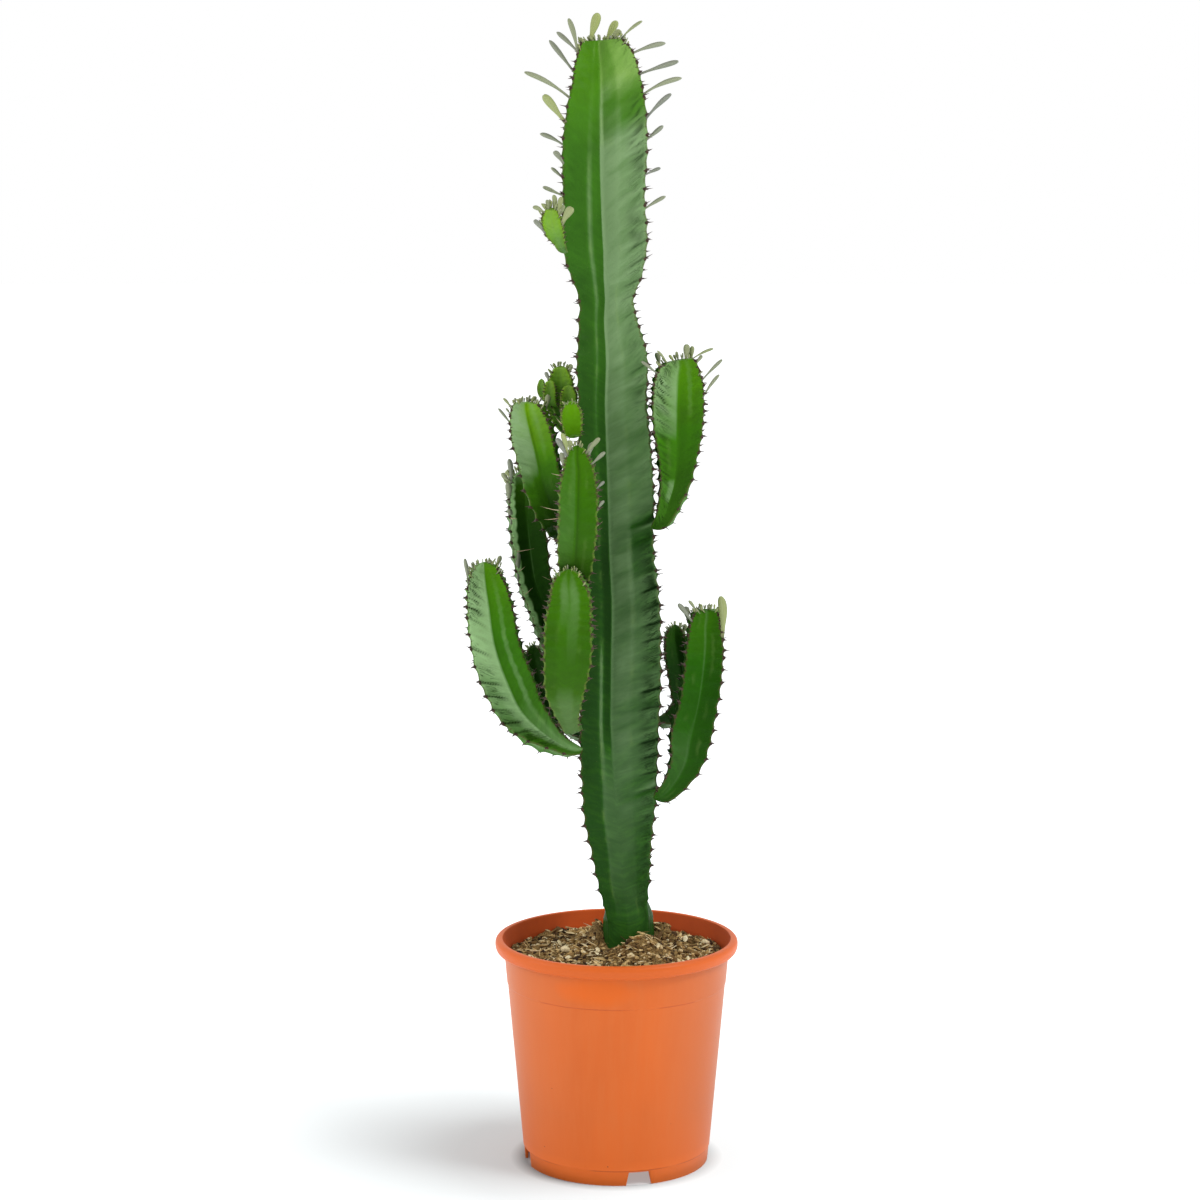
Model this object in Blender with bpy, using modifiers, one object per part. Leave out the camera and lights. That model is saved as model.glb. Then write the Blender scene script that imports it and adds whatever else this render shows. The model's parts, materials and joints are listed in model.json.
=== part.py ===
"""Potted candelabra euphorbia: a tall succulent with four toothed ribs and eleven upright arms,
rooted in potting soil in a round plastic nursery pot.

Metres in the world, millimetres in the tables. +Z is up, the front faces -Y and the pot stands
on z = 0. The origin is the middle of the foot of the whole object's bounding box, so the pot's
axis stands a little to the right of it.

A stem is a star-shaped section carried along a smooth line through a few measured stations.
Rib i has its crest at the angle alpha - 90 * i from the front, turning to the right. The crests
carry teeth: one half-pitch apart, a row of points stands out on ribs 0 and 2, then on 1 and 3.
Leaves and spines are fused to the teeth. Each arm is cut back to sit just clear of the trunk.
"""
import math
import random

import bmesh
import bpy
import numpy as np

MM = 0.001

# Where the pot's axis stands.
AXIS = np.array([13.5, 0.0, 0.0])

# Pot.
RIM_RADIUS = 105.0
RIM_TOP = 196.0
COLLAR_FOOT = 183.0
FOOT_RADIUS = 80.0
BODY_SLOPE = 0.0907
WALL = 1.7
UPPER_STEP = 157.0
LOWER_STEP = 12.8
STEP_DEPTH = 0.5
FLOOR_TOP = 13.6
FLOOR_UNDERSIDE = 11.9
FOOT_WIDTH = 2.2
POT_SIDES = 40
NOTCH_HEIGHT = 11.4
NOTCH_HALF_TOP = 8.0
NOTCH_HALF_FOOT = 11.6
NOTCH_ANGLE = math.radians(-76.3)
DRAIN_RADIUS = 6.0
DRAIN_CIRCLE = 62.0

# Soil.
SOIL_EDGE = 181.0
SOIL_GAP = 0.35
SOIL_RINGS = 8
HOLE_RADIUS = 24.0
HOLE_FOOT = 169.7

# Stems.
PITCH_TRUNK = 17.0
PITCH_ARM = 17.5
TOOTH_HEIGHT = 3.0
CREST_HALF_WIDTH = 1.3
VALLEY_RATIO = 0.40
KNEE_RATIO = 0.50
SEAT_GAP = 0.3
ROOT_DEPTH = 6.0

# Spines and leaves.
SPINE_LENGTH = 5.0
SPINE_RADIUS = 0.8
SPINE_SINK = 1.6
SPINE_SPREAD = math.radians(38.0)
SHOULDER = 2.2
LEAF_THICKNESS = 1.2
LEAF_SINK = 2.2
CROWN_REACH = 3.0
CROWN_INSET = 1.6

# Stations of the trunk, from the foot of its plug to the top:
# x, z, crest radius, angle of rib 0, half distance between the knees where the thin ribs leave
# the core, roundness.
TRUNK = [
    (10, 170, 22.6, 45, 4, 1.0),
    (10, 200, 23.2, 45, 4, 1.0),
    (10, 214, 23.4, 45, 4, 1.0),
    (8, 228, 26.5, 45, 8, 0.3),
    (6, 249, 33.0, 45, 11, 0.0),
    (4, 276, 38.3, 45, 12, 0.0),
    (2, 306, 44.5, 45, 13, 0.0),
    (2, 341, 47.6, 45, 13, 0.0),
    (4, 386, 49.6, 45, 13, 0.0),
    (4, 438, 49.5, 45, 13, 0.0),
    (2, 490, 48.0, 45, 13, 0.0),
    (0, 532, 44.5, 45, 13, 0.0),
    (-1, 575, 45.0, 45, 13, 0.0),
    (-2, 613, 44.2, 45, 13, 0.0),
    (-4, 660, 42.6, 45, 12, 0.0),
    (-5, 696, 40.8, 45, 11, 0.0),
    (-8, 727, 35.7, 45, 9, 0.0),
    (-9, 744, 33.3, 45, 8, 0.0),
    (-9, 764, 43.0, 45, 10, 0.0),
    (-10, 785, 50.0, 45, 12, 0.0),
    (-11, 827, 49.1, 45, 12, 0.0),
    (-10, 876, 50.2, 45, 12, 0.0),
    (-9, 897, 47.8, 45, 12, 0.0),
    (-9, 925, 41.2, 45, 10, 0.0),
    (-10.5, 942, 36.0, 45, 8, 0.0),
    (-12, 951, 30.5, 45, 6, 0.0),
    (-12.5, 957, 24.5, 45, 5, 0.0),
]

# Arms: the trunk rib and height they grow from, angle of rib 0 about the arm's own line, then
# stations x, y, z, crest radius from the neck to the top.
ARMS = {
    "A": (1, 360, 48, [
        (-38, -38, 361, 9.5), (-50, -34, 365, 15), (-65, -26, 375, 22), (-80, -18, 392, 28.5),
        (-93, -13, 419, 31.5), (-103, -12, 453, 30.5), (-108, -12, 487, 28.5),
        (-111, -12, 508, 23.5), (-112, -12, 519, 16)]),
    "B": (1, 384, 45, [
        (-37, -41, 388, 9), (-40, -50, 398, 12), (-42, -59, 412, 18),
        (-43, -68, 430, 25), (-41, -75, 453, 29), (-40, -77, 483, 28), (-39, -77, 500, 24.5),
        (-40, -77, 513, 19.5), (-40, -77, 521, 12.5)]),
    "C": (1, 486, 45, [
        (-35, -39, 490, 9), (-37, -43, 501, 12), (-36, -47, 515, 15.5), (-34, -56, 530, 19),
        (-33, -62, 547, 22.5), (-32, -66, 568, 23.8), (-32, -66, 593, 23.5),
        (-32, -66, 607, 19), (-33, -66, 616, 14.5), (-33, -66, 623, 9)]),
    "D": (2, 532, 42, [
        (-38, 36, 538, 10), (-47, 24, 552, 16.5), (-55, 7, 571, 22.5), (-62, -2, 592, 25),
        (-67, -5, 614, 25.5), (-71, -5, 635, 25), (-74, -5, 648, 20), (-77, -5, 656, 13.5)]),
    "E": (2, 407, 50, [
        (-38, 40, 412, 10), (-45, 44, 423, 15), (-53, 49, 444, 19.5), (-62, 53, 470, 24.5),
        (-72, 57, 500, 25.5), (-76, 58, 531, 24.5), (-78, 58, 561, 23), (-81, 58, 582, 19.5),
        (-83, 58, 592, 13)]),
    "F": (2, 363, 45, [
        (-36, 44, 368, 8.5), (-48, 56, 377, 11), (-61, 66, 393, 13.5), (-69, 72, 414, 14.5),
        (-72, 73, 430, 12), (-73, 73, 438, 7)]),
    "G": (2, 632, 45, [
        (-39, 36, 637, 8), (-44, 41, 647, 12), (-47, 44, 662, 15.5), (-48, 45, 675, 15),
        (-48, 45, 684, 9)]),
    "H": (1, 632, 45, [
        (-36, -38, 636, 7), (-37, -44, 641, 11), (-38, -46, 649, 13.2), (-38, -46, 655, 11),
        (-38, -46, 658.5, 7)]),
    "I": (0, 554, 45, [
        (38, -33, 559, 10.5), (45, -28, 573, 16.5), (50, -22, 589, 21), (51, -18, 610, 24.5),
        (52, -15, 639, 28.5), (52, -14, 664, 28.5), (52, -14, 682, 25), (52, -14, 692, 17.5)]),
    "J": (0, 324, 45, [
        (42, -36, 327, 9), (53, -34, 336, 14.5), (61, -30, 353, 20.5), (65, -27, 376, 22.5),
        (70, -25, 407, 22.5), (73, -24, 432, 23), (75, -24, 458, 23), (75, -24, 472, 19),
        (75, -24, 481, 13)]),
    "K": (3, 388, 45, [
        (44, 41, 393, 6), (50, 44, 397, 7.5), (55, 47, 405, 10.5), (57, 49, 413, 13),
        (55, 50, 426, 15), (52, 50, 441, 14.5), (51, 50, 453, 11.5), (51, 50, 459, 6.5)]),
    "L": (1, 783, 45, [
        (-48, -40, 788, 7), (-51, -46, 794, 10), (-53, -50, 803, 12.5), (-54, -51, 811, 12),
        (-54, -51, 817, 8)]),
}

# Leaves: rib, distance below the stem's top, length, rise and azimuth in degrees (0 is the
# front, 90 the right), width. Those within the crown's reach of the top stand on its rim.
LEAVES = {
    "trunk": [
        (1, 14, 29, 75, -60, 9), (2, 13, 21, 54, -120, 8), (2, 31, 36, 55, -120, 9),
        (1, 50, 45, 31, -60, 9), (1, 68, 28, 49, -45, 12), (2, 86, 21, 27, -120, 8),
        (1, 102, 15, 41, -60, 9), (2, 114, 17, 38, -120, 6), (1, 128, 21, 23, -60, 6),
        (1, 2, 19, 76, 20, 10), (3, 2, 16, 53, 150, 8), (0, 2, 18, 35, 50, 7),
        (0, 14, 33, 22, 60, 9), (3, 30, 37, 15, 120, 9), (0, 47, 41, 20, 60, 8),
        (3, 63, 30, 41, 120, 8), (0, 81, 20, 41, 60, 7), (3, 111, 17, 22, 120, 7),
        (0, 140, 24, 33, 60, 7), (2, 2, 18, 60, -150, 8), (3, 14, 30, 40, 165, 8),
        (2, 50, 33, 30, -165, 9), (3, 47, 30, 35, 170, 9), (2, 68, 26, 35, -170, 8),
        (3, 80, 22, 30, 165, 7), (2, 100, 18, 30, -165, 7),
    ],
    "A": [(1, 8, 12, 70, -60, 6), (3, 2, 10, 60, 150, 6), (2, 8, 14, 50, -130, 6)],
    "C": [
        (1, 16, 22, 64, -60, 6), (0, 8, 14, 58, 60, 6), (0, 23, 14, 58, 60, 6),
        (3, 9, 15, 50, 150, 6), (2, 16, 16, 50, -140, 6),
    ],
    "D": [(1, 18, 18, 53, -60, 6), (2, 4, 12, 41, -120, 6), (3, 10, 16, 50, 160, 7)],
    "E": [(1, 25, 28, 80, -60, 7), (2, 8, 13, 50, -130, 6), (3, 16, 18, 50, 150, 7)],
    "I": [
        (0, 2, 16, 34, 60, 7), (3, 17, 20, 49, 120, 7), (0, 32, 20, 62, 60, 8),
        (1, 2, 10, 62, -60, 6), (1, 15, 15, 50, -60, 6), (2, 8, 15, 45, -150, 7),
        (3, 2, 14, 50, 165, 6),
    ],
    "J": [
        (0, 22, 32, 80, 60, 12), (1, 12, 16, 66, -60, 9), (1, 2, 10, 52, -60, 6),
        (3, 12, 18, 55, 140, 9), (2, 12, 14, 50, -150, 8),
    ],
    "L": [(1, 10, 11, 47, -60, 6), (2, 2, 13, 30, -100, 6), (0, 2, 14, 70, 10, 8)],
    "G": [(2, 10, 13, 45, -130, 6), (1, 3, 12, 60, -70, 6), (3, 4, 12, 45, 170, 6)],
    "K": [(0, 4, 8, 60, 40, 6), (3, 6, 9, 45, 150, 6)],
}

COLOURS = {
    "pot": (0.72, 0.17, 0.045),
    "soil": (0.13, 0.08, 0.045),
    "trunk": (0.07, 0.19, 0.035),
    "arm": (0.055, 0.22, 0.02),
}


def clear_scene():
    for item in list(bpy.data.objects):
        bpy.data.objects.remove(item, do_unlink=True)
    for group in list(bpy.data.collections):
        bpy.data.collections.remove(group)


def make_collection(name):
    group = bpy.data.collections.new(name)
    bpy.context.scene.collection.children.link(group)
    return group


def make_object(name, points, faces, group):
    """A mesh object from points in millimetres, its faces turned outward."""
    mesh = bpy.data.meshes.new(name)
    mesh.from_pydata([tuple(p) for p in np.asarray(points) * MM], [], faces)
    shape = bmesh.new()
    shape.from_mesh(mesh)
    bmesh.ops.recalc_face_normals(shape, faces=shape.faces)
    shape.to_mesh(mesh)
    shape.free()
    item = bpy.data.objects.new(name, mesh)
    group.objects.link(item)
    return item


def paint(item, colour, roughness):
    material = bpy.data.materials.new(item.name + "_material")
    material.use_nodes = True
    shader = material.node_tree.nodes["Principled BSDF"]
    shader.inputs["Base Color"].default_value = (*colour, 1.0)
    shader.inputs["Roughness"].default_value = roughness
    item.data.materials.clear()
    item.data.materials.append(material)


def combine(item, tool, operation):
    """Apply a Boolean of the tool to the item and remove the tool."""
    step = item.modifiers.new("combine", "BOOLEAN")
    step.operation = operation
    step.solver = "MANIFOLD"
    step.object = tool
    bpy.context.view_layer.update()
    result = item.evaluated_get(bpy.context.evaluated_depsgraph_get())
    mesh = bpy.data.meshes.new_from_object(result)
    item.modifiers.clear()
    item.data = mesh
    bpy.data.objects.remove(tool, do_unlink=True)


def keep_largest(item):
    """Drop every loose piece of the mesh but the one with the most volume."""
    shape = bmesh.new()
    shape.from_mesh(item.data)
    left = set(shape.faces)
    pieces = []
    while left:
        stack = [left.pop()]
        piece = []
        while stack:
            face = stack.pop()
            piece.append(face)
            for edge in face.edges:
                for other in edge.link_faces:
                    if other in left:
                        left.remove(other)
                        stack.append(other)
        pieces.append(piece)

    def volume(piece):
        total = 0.0
        for face in piece:
            first = face.verts[0].co
            for a, b in zip(face.verts[1:-1], face.verts[2:]):
                total += first.dot(a.co.cross(b.co)) / 6.0
        return abs(total)

    pieces.sort(key=volume, reverse=True)
    spare = [face for piece in pieces[1:] for face in piece]
    bmesh.ops.delete(shape, geom=spare, context="FACES")
    shape.to_mesh(item.data)
    shape.free()


def unit(vector):
    return vector / np.linalg.norm(vector)


# Pot: a turned shell with a collar that hangs from the rim, notches and drain holes.

def body_radius(z):
    return FOOT_RADIUS + BODY_SLOPE * z


def wall_inside(z):
    return body_radius(z) - WALL + STEP_DEPTH * np.clip((z - FLOOR_TOP) / 160.0, 0.0, 1.0)


def build_pot(group, cutters):
    outer_collar = body_radius(COLLAR_FOOT) + STEP_DEPTH
    profile = [
        (0.0, FLOOR_TOP),
        (wall_inside(FLOOR_TOP), FLOOR_TOP),
        (wall_inside(COLLAR_FOOT), COLLAR_FOOT),
        (98.3, RIM_TOP - 0.7),
        (99.1, RIM_TOP),
        (RIM_RADIUS - 1.4, RIM_TOP),
        (RIM_RADIUS, RIM_TOP - 1.5),
        (RIM_RADIUS, COLLAR_FOOT),
        (RIM_RADIUS - WALL, COLLAR_FOOT),
        (RIM_RADIUS - WALL, RIM_TOP - 2.4),
        (99.7, RIM_TOP - 2.4),
        (outer_collar, COLLAR_FOOT),
        (body_radius(UPPER_STEP) + STEP_DEPTH, UPPER_STEP + 0.4),
        (body_radius(UPPER_STEP), UPPER_STEP - 0.4),
        (body_radius(LOWER_STEP), LOWER_STEP + 0.4),
        (body_radius(LOWER_STEP) - STEP_DEPTH, LOWER_STEP - 0.4),
        (FOOT_RADIUS - STEP_DEPTH, 0.0),
        (FOOT_RADIUS - STEP_DEPTH - FOOT_WIDTH, 0.0),
        (FOOT_RADIUS - FOOT_WIDTH, FLOOR_UNDERSIDE),
        (0.0, FLOOR_UNDERSIDE),
    ]
    mesh = bpy.data.meshes.new("pot")
    points = [(r * MM, 0.0, z * MM) for r, z in profile]
    edges = [(i, i + 1) for i in range(len(points) - 1)]
    mesh.from_pydata(points, edges, [])
    pot = bpy.data.objects.new("pot", mesh)
    pot.location = AXIS * MM
    group.objects.link(pot)
    turn = pot.modifiers.new("turn", "SCREW")
    turn.axis = "Z"
    turn.steps = POT_SIDES
    turn.render_steps = POT_SIDES
    turn.use_merge_vertices = True
    turn.merge_threshold = 0.00001
    turn.use_normal_calculate = True
    turn.use_smooth_shade = False

    notches = []
    notch_faces = []
    drains = []
    drain_faces = []
    for quarter in range(4):
        angle = NOTCH_ANGLE + quarter * math.pi / 2
        out = np.array([math.cos(angle), math.sin(angle), 0.0])
        side = np.array([-out[1], out[0], 0.0])
        start = len(notches)
        for reach in (70.0, 90.0):
            for half, z in (
                (-NOTCH_HALF_FOOT, -2.0), (NOTCH_HALF_FOOT, -2.0),
                (NOTCH_HALF_TOP, NOTCH_HEIGHT), (-NOTCH_HALF_TOP, NOTCH_HEIGHT),
            ):
                notches.append(AXIS + out * reach + side * half + np.array([0, 0, z]))
        notch_faces.append(tuple(start + i for i in (3, 2, 1, 0)))
        notch_faces.append(tuple(start + 4 + i for i in range(4)))
        for i in range(4):
            j = (i + 1) % 4
            notch_faces.append((start + i, start + j, start + 4 + j, start + 4 + i))
        start = len(drains)
        sides = 12
        for z in (FLOOR_UNDERSIDE - 3.0, FLOOR_TOP + 3.0):
            for i in range(sides):
                turned = 2 * math.pi * i / sides
                ring = out * math.cos(turned) + side * math.sin(turned)
                drains.append(AXIS + out * DRAIN_CIRCLE + ring * DRAIN_RADIUS + np.array([0, 0, z]))
        drain_faces.append(tuple(start + i for i in reversed(range(sides))))
        drain_faces.append(tuple(start + sides + i for i in range(sides)))
        for i in range(sides):
            j = (i + 1) % sides
            drain_faces.append((start + i, start + j, start + sides + j, start + sides + i))
    for name, points, faces in (
        ("notch_cutter", notches, notch_faces),
        ("drain_cutter", drains, drain_faces),
    ):
        cutter = make_object(name, points, faces, cutters)
        cutter.hide_render = True
        cutter.display_type = "WIRE"
        cut = pot.modifiers.new(name, "BOOLEAN")
        cut.operation = "DIFFERENCE"
        cut.solver = "EXACT"
        cut.object = cutter
    paint(pot, COLOURS["pot"], 0.45)


# Soil: it fills the pot, heaped about the trunk, with a plain round hole for the trunk's plug.

def soil_height(x, y):
    """Height of the soil at a point given from the pot's axis."""
    trunk_x = TRUNK[0][0]
    distance = math.hypot(x - trunk_x, y)
    heap = 14.0 * math.exp(-((distance / 46.0) ** 2))
    front_heap = 7.0 * math.exp(-((x - 30.0) ** 2 + (y + 28.0) ** 2) / 22.0 ** 2)
    left_heap = 9.0 * math.exp(-((x + 22.0) ** 2 + (y - 16.0) ** 2) / 16.0 ** 2)
    lumps = 1.4 * math.sin(0.23 * x + 1.3 * math.sin(0.11 * y)) * math.sin(0.19 * y + 0.07 * x)
    return SOIL_EDGE + heap + front_heap + left_heap + lumps


def build_soil(group):
    centre = np.array([TRUNK[0][0], 0.0])
    points = []
    faces = []

    def ring(radius, middle, z):
        start = len(points)
        for i in range(POT_SIDES):
            turned = 2 * math.pi * i / POT_SIDES
            points.append((middle[0] + radius * math.cos(turned), middle[1] + radius * math.sin(turned), z))
        return start

    rows = [ring(HOLE_RADIUS, centre, HOLE_FOOT)]
    for k in range(SOIL_RINGS + 1):
        t = k / SOIL_RINGS
        edge = wall_inside(SOIL_EDGE) - SOIL_GAP - 0.3
        start = ring(HOLE_RADIUS * (1 - t) + edge * t, centre * (1 - t), 0.0)
        for i in range(start, len(points)):
            x, y, _ = points[i]
            points[i] = (x, y, soil_height(x, y))
        rows.append(start)
    floor = FLOOR_TOP + SOIL_GAP
    rows.append(ring(wall_inside(floor) - SOIL_GAP, np.zeros(2), floor))
    for low, high in zip(rows[:-1], rows[1:]):
        for i in range(POT_SIDES):
            j = (i + 1) % POT_SIDES
            faces.append((low + i, low + j, high + j, high + i))
    faces.append(tuple(rows[0] + i for i in range(POT_SIDES)))
    faces.append(tuple(rows[-1] + i for i in reversed(range(POT_SIDES))))
    soil = make_object("soil", np.array(points) + AXIS, faces, group)
    paint(soil, COLOURS["soil"], 0.95)


# Stems.

def smooth_line(stations, step):
    """Rows at an even spacing along a smooth curve through the stations.

    The first four columns, position and radius, run smoothly; the others run straight.
    """
    stations = np.asarray(stations, float)
    gaps = np.linalg.norm(np.diff(stations[:, :3], axis=0), axis=1)
    at = np.concatenate([[0.0], np.cumsum(gaps)])
    slopes = np.gradient(stations, at, axis=0)
    fine = []
    for k in range(len(gaps)):
        t = np.linspace(0.0, 1.0, 24, endpoint=False)[:, None]
        h = gaps[k]
        fine.append(
            stations[k] * (2 * t**3 - 3 * t**2 + 1)
            + slopes[k] * h * (t**3 - 2 * t**2 + t)
            + stations[k + 1] * (3 * t**2 - 2 * t**3)
            + slopes[k + 1] * h * (t**3 - t**2)
        )
    fine.append(stations[-1:])
    fine = np.concatenate(fine)
    places = np.concatenate([np.linspace(at[k], at[k + 1], 24, endpoint=False) for k in range(len(gaps))])
    places = np.append(places, at[-1])
    for c in range(4, fine.shape[1]):
        fine[:, c] = np.interp(places, at, stations[:, c])
    run = np.concatenate([[0.0], np.cumsum(np.linalg.norm(np.diff(fine[:, :3], axis=0), axis=1))])
    count = max(3, int(round(run[-1] / step)))
    even = np.linspace(0.0, run[-1], count + 1)
    return np.stack([np.interp(even, run, fine[:, c]) for c in range(fine.shape[1])], axis=1)


def carry_frames(line):
    """Unit tangent, front and right vectors of each row, carried without twist from the top."""
    tangents = np.gradient(line[:, :3], axis=0)
    tangents /= np.linalg.norm(tangents, axis=1)[:, None]
    fronts = np.zeros_like(tangents)
    front = np.array([0.0, -1.0, 0.0])
    for k in reversed(range(len(line))):
        front = unit(front - tangents[k] * front.dot(tangents[k]))
        fronts[k] = front
    rights = np.cross(tangents, fronts)
    return tangents, fronts, rights


class Stem:
    """Rows of a stem: x, y, z, crest radius, angle of rib 0, half floor width, roundness."""

    def __init__(self, name, stations, pitch):
        self.name = name
        self.line = smooth_line(stations, pitch / 2)
        self.tangents, self.fronts, self.rights = carry_frames(self.line)
        self.top = len(self.line) - 1

    def outward(self, k, degrees):
        turned = math.radians(degrees)
        return self.fronts[k] * math.cos(turned) + self.rights[k] * math.sin(turned)

    def tooth(self, k, rib):
        """How far the crest of the rib falls inside its radius at row k: not at all at a tooth."""
        radius, roundness = self.line[k][3], self.line[k][6]
        height = TOOTH_HEIGHT * min(1.0, max(0.0, (radius - 5.0) / 18.0)) * (1.0 - roundness)
        if k == self.top:
            return 0.0
        return 0.0 if (self.top - k + rib) % 2 == 1 else -height

    def crest(self, k, rib):
        """The crest's point at row k, and the unit vector that points outward there."""
        out = self.outward(k, self.line[k][4] - 90.0 * rib)
        return self.line[k][:3] + out * (self.line[k][3] + self.tooth(k, rib)), out

    def shoulder(self, k, rib):
        """A point on the crest just above the tooth of row k, and its outward vector."""
        low, out = self.crest(k, rib)
        high, _ = self.crest(k + 1, rib)
        return low + unit(high - low) * SHOULDER, out

    def ring(self, k):
        position = self.line[k][:3]
        radius, angle, floor, roundness = self.line[k][3:7]
        half = min(CREST_HALF_WIDTH, 0.2 * radius)
        neck = min(1.0, max(0.0, (15.0 - radius) / 8.0))
        ratio = KNEE_RATIO if floor > 0.0 else VALLEY_RATIO
        valley = radius * (ratio + (0.7 - ratio) * neck)
        points = []
        for rib in range(4):
            crest_angle = angle - 90.0 * rib
            out = self.outward(k, crest_angle)
            side = self.outward(k, crest_angle - 90.0)
            reach = radius + self.tooth(k, rib)
            star = [position + out * reach - side * half, position + out * reach + side * half]
            valley_out = self.outward(k, crest_angle - 45.0)
            valley_side = self.outward(k, crest_angle - 135.0)
            if floor > 0.0:
                star.append(position + valley_out * valley - valley_side * floor)
                star.append(position + valley_out * valley + valley_side * floor)
                turns = (-11.25, 11.25, 33.75, 56.25)
            else:
                star.append(position + valley_out * valley)
                turns = (-15.0, 15.0, 45.0)
            for point, turned in zip(star, turns):
                circle = position + self.outward(k, crest_angle - turned) * radius
                points.append(point * (1.0 - roundness) + circle * roundness)
        return points

    def build(self, group):
        """The stem's body: rings joined row by row, a flat foot and a low crown."""
        rings = [self.ring(k) for k in range(self.top + 1)]
        middle = self.line[-1][:3]
        crown = [
            middle + (p - middle) * 0.5 + self.tangents[-1] * 0.08 * self.line[-1][3]
            for p in rings[-1]
        ]
        rings.append(crown)
        sides = len(crown)
        points = [p for row in rings for p in row]
        faces = []
        for k in range(len(rings) - 1):
            for i in range(sides):
                j = (i + 1) % sides
                faces.append((k * sides + i, k * sides + j, (k + 1) * sides + j, (k + 1) * sides + i))
        faces.append(tuple(range(sides)))
        faces.append(tuple((len(rings) - 1) * sides + i for i in reversed(range(sides))))
        return make_object(self.name, np.array(points) + AXIS, faces, group)

    def row_below_top(self, distance, rib):
        """The tooth row of the rib nearest to a distance below the top."""
        run = np.concatenate(
            [[0.0], np.cumsum(np.linalg.norm(np.diff(self.line[:, :3], axis=0), axis=1))])
        down = run[-1] - run
        rows = [k for k in range(self.top) if (self.top - k + rib) % 2 == 1]
        return min(rows, key=lambda k: abs(down[k] - distance))


def clear_of_others(point, own, stems, margin):
    for stem in stems.values():
        if stem is own:
            continue
        away = np.linalg.norm(stem.line[:, :3] - point, axis=1) - stem.line[:, 3]
        if away.min() < margin:
            return False
    return True


def leaf_shape(base, direction, length, width):
    """A spoon-shaped blade, four-sided in section, narrow at the foot and widest near the end."""
    side = unit(np.cross(direction, np.array([0.0, 0.0, 1.0])))
    upper = np.cross(side, direction)
    start = base - direction * LEAF_SINK
    full = length + LEAF_SINK
    stations = ((0.0, 0.24, 0.0), (0.45, 0.34, -0.03), (0.8, 1.0, -0.02), (1.0, 0.34, 0.04))
    points = []
    for along, share, lift in stations:
        middle = start + direction * (full * along) + upper * (full * lift)
        half = max(1.0, width * share / 2)
        thick = LEAF_THICKNESS / 2
        points += [middle - side * half, middle - upper * thick,
                   middle + side * half, middle + upper * thick]
    faces = [(0, 1, 2, 3), (15, 14, 13, 12)]
    for k in range(3):
        for i in range(4):
            j = (i + 1) % 4
            faces.append((4 * k + i, 4 * k + j, 4 * k + 4 + j, 4 * k + 4 + i))
    return points, faces


def spine_shape(base, direction, side):
    """A three-sided pyramid whose foot is sunk in the tooth."""
    third = np.cross(direction, side)
    points = []
    for corner in range(3):
        turned = 2 * math.pi * corner / 3
        rim = side * math.cos(turned) + third * math.sin(turned)
        points.append(base - direction * SPINE_SINK + rim * SPINE_RADIUS)
    points.append(base + direction * SPINE_LENGTH)
    return points, [(0, 1, 2), (0, 3, 1), (1, 3, 2), (2, 3, 0)]


def add_leaves(item, stem, stems, group):
    """Fuse the stem's leaves to it one by one; returns the teeth that they take."""
    taken = set()
    for rib, down, length, rise, azimuth, width in LEAVES.get(stem.name, ()):
        if down < CROWN_REACH:
            k = stem.top
            base, out = stem.crest(k, rib)
            base = base - out * CROWN_INSET
        else:
            k = stem.row_below_top(down, rib)
            while (k, rib) in taken:
                k -= 2
            base, _ = stem.shoulder(k, rib)
        level = math.cos(math.radians(rise))
        turned = math.radians(azimuth)
        direction = np.array(
            [math.sin(turned) * level, -math.cos(turned) * level, math.sin(math.radians(rise))])
        points, faces = leaf_shape(base, direction, length, width)
        if not all(clear_of_others(p, stem, stems, 2.5) for p in points[4:]):
            continue
        leaf = make_object("leaf", np.array(points) + AXIS, faces, group)
        combine(item, leaf, "UNION")
        taken.add((k, rib))
    return taken


def add_spines(item, stem, stems, taken, group):
    """Fuse a spine to every second tooth, leaning to the left and right by turns."""
    points = []
    faces = []
    chance = random.Random(stem.name)
    for k in range(stem.top):
        radius, roundness = stem.line[k][3], stem.line[k][6]
        for rib in range(4):
            order = stem.top - k + rib
            if order % 4 != 1 or (k, rib) in taken or radius < 9.0 or roundness > 0.1:
                continue
            base, out = stem.shoulder(k, rib)
            tangent = stem.tangents[k]
            side = np.cross(out, tangent)
            lean = SPINE_SPREAD if chance.random() < 0.5 else -SPINE_SPREAD
            direction = unit(out * math.cos(lean) + side * math.sin(lean) + tangent * 0.12)
            tip = base + direction * SPINE_LENGTH
            if not clear_of_others(tip, stem, stems, 4.0):
                continue
            start = len(points)
            shape, shape_faces = spine_shape(base, direction, unit(np.cross(direction, tangent)))
            points += shape
            faces += [tuple(start + i for i in face) for face in shape_faces]
    if faces:
        combine(item, make_object("spines", np.array(points) + AXIS, faces, group), "UNION")


def swollen_copy(item, distance, group):
    """A copy of a mesh with its vertices moved out along their normals."""
    copy = bpy.data.objects.new(item.name + "_swollen", item.data.copy())
    group.objects.link(copy)
    shape = bmesh.new()
    shape.from_mesh(copy.data)
    shape.normal_update()
    for vertex in shape.verts:
        vertex.co += vertex.normal * (distance * MM * vertex.calc_shell_factor())
    shape.to_mesh(copy.data)
    shape.free()
    return copy


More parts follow.
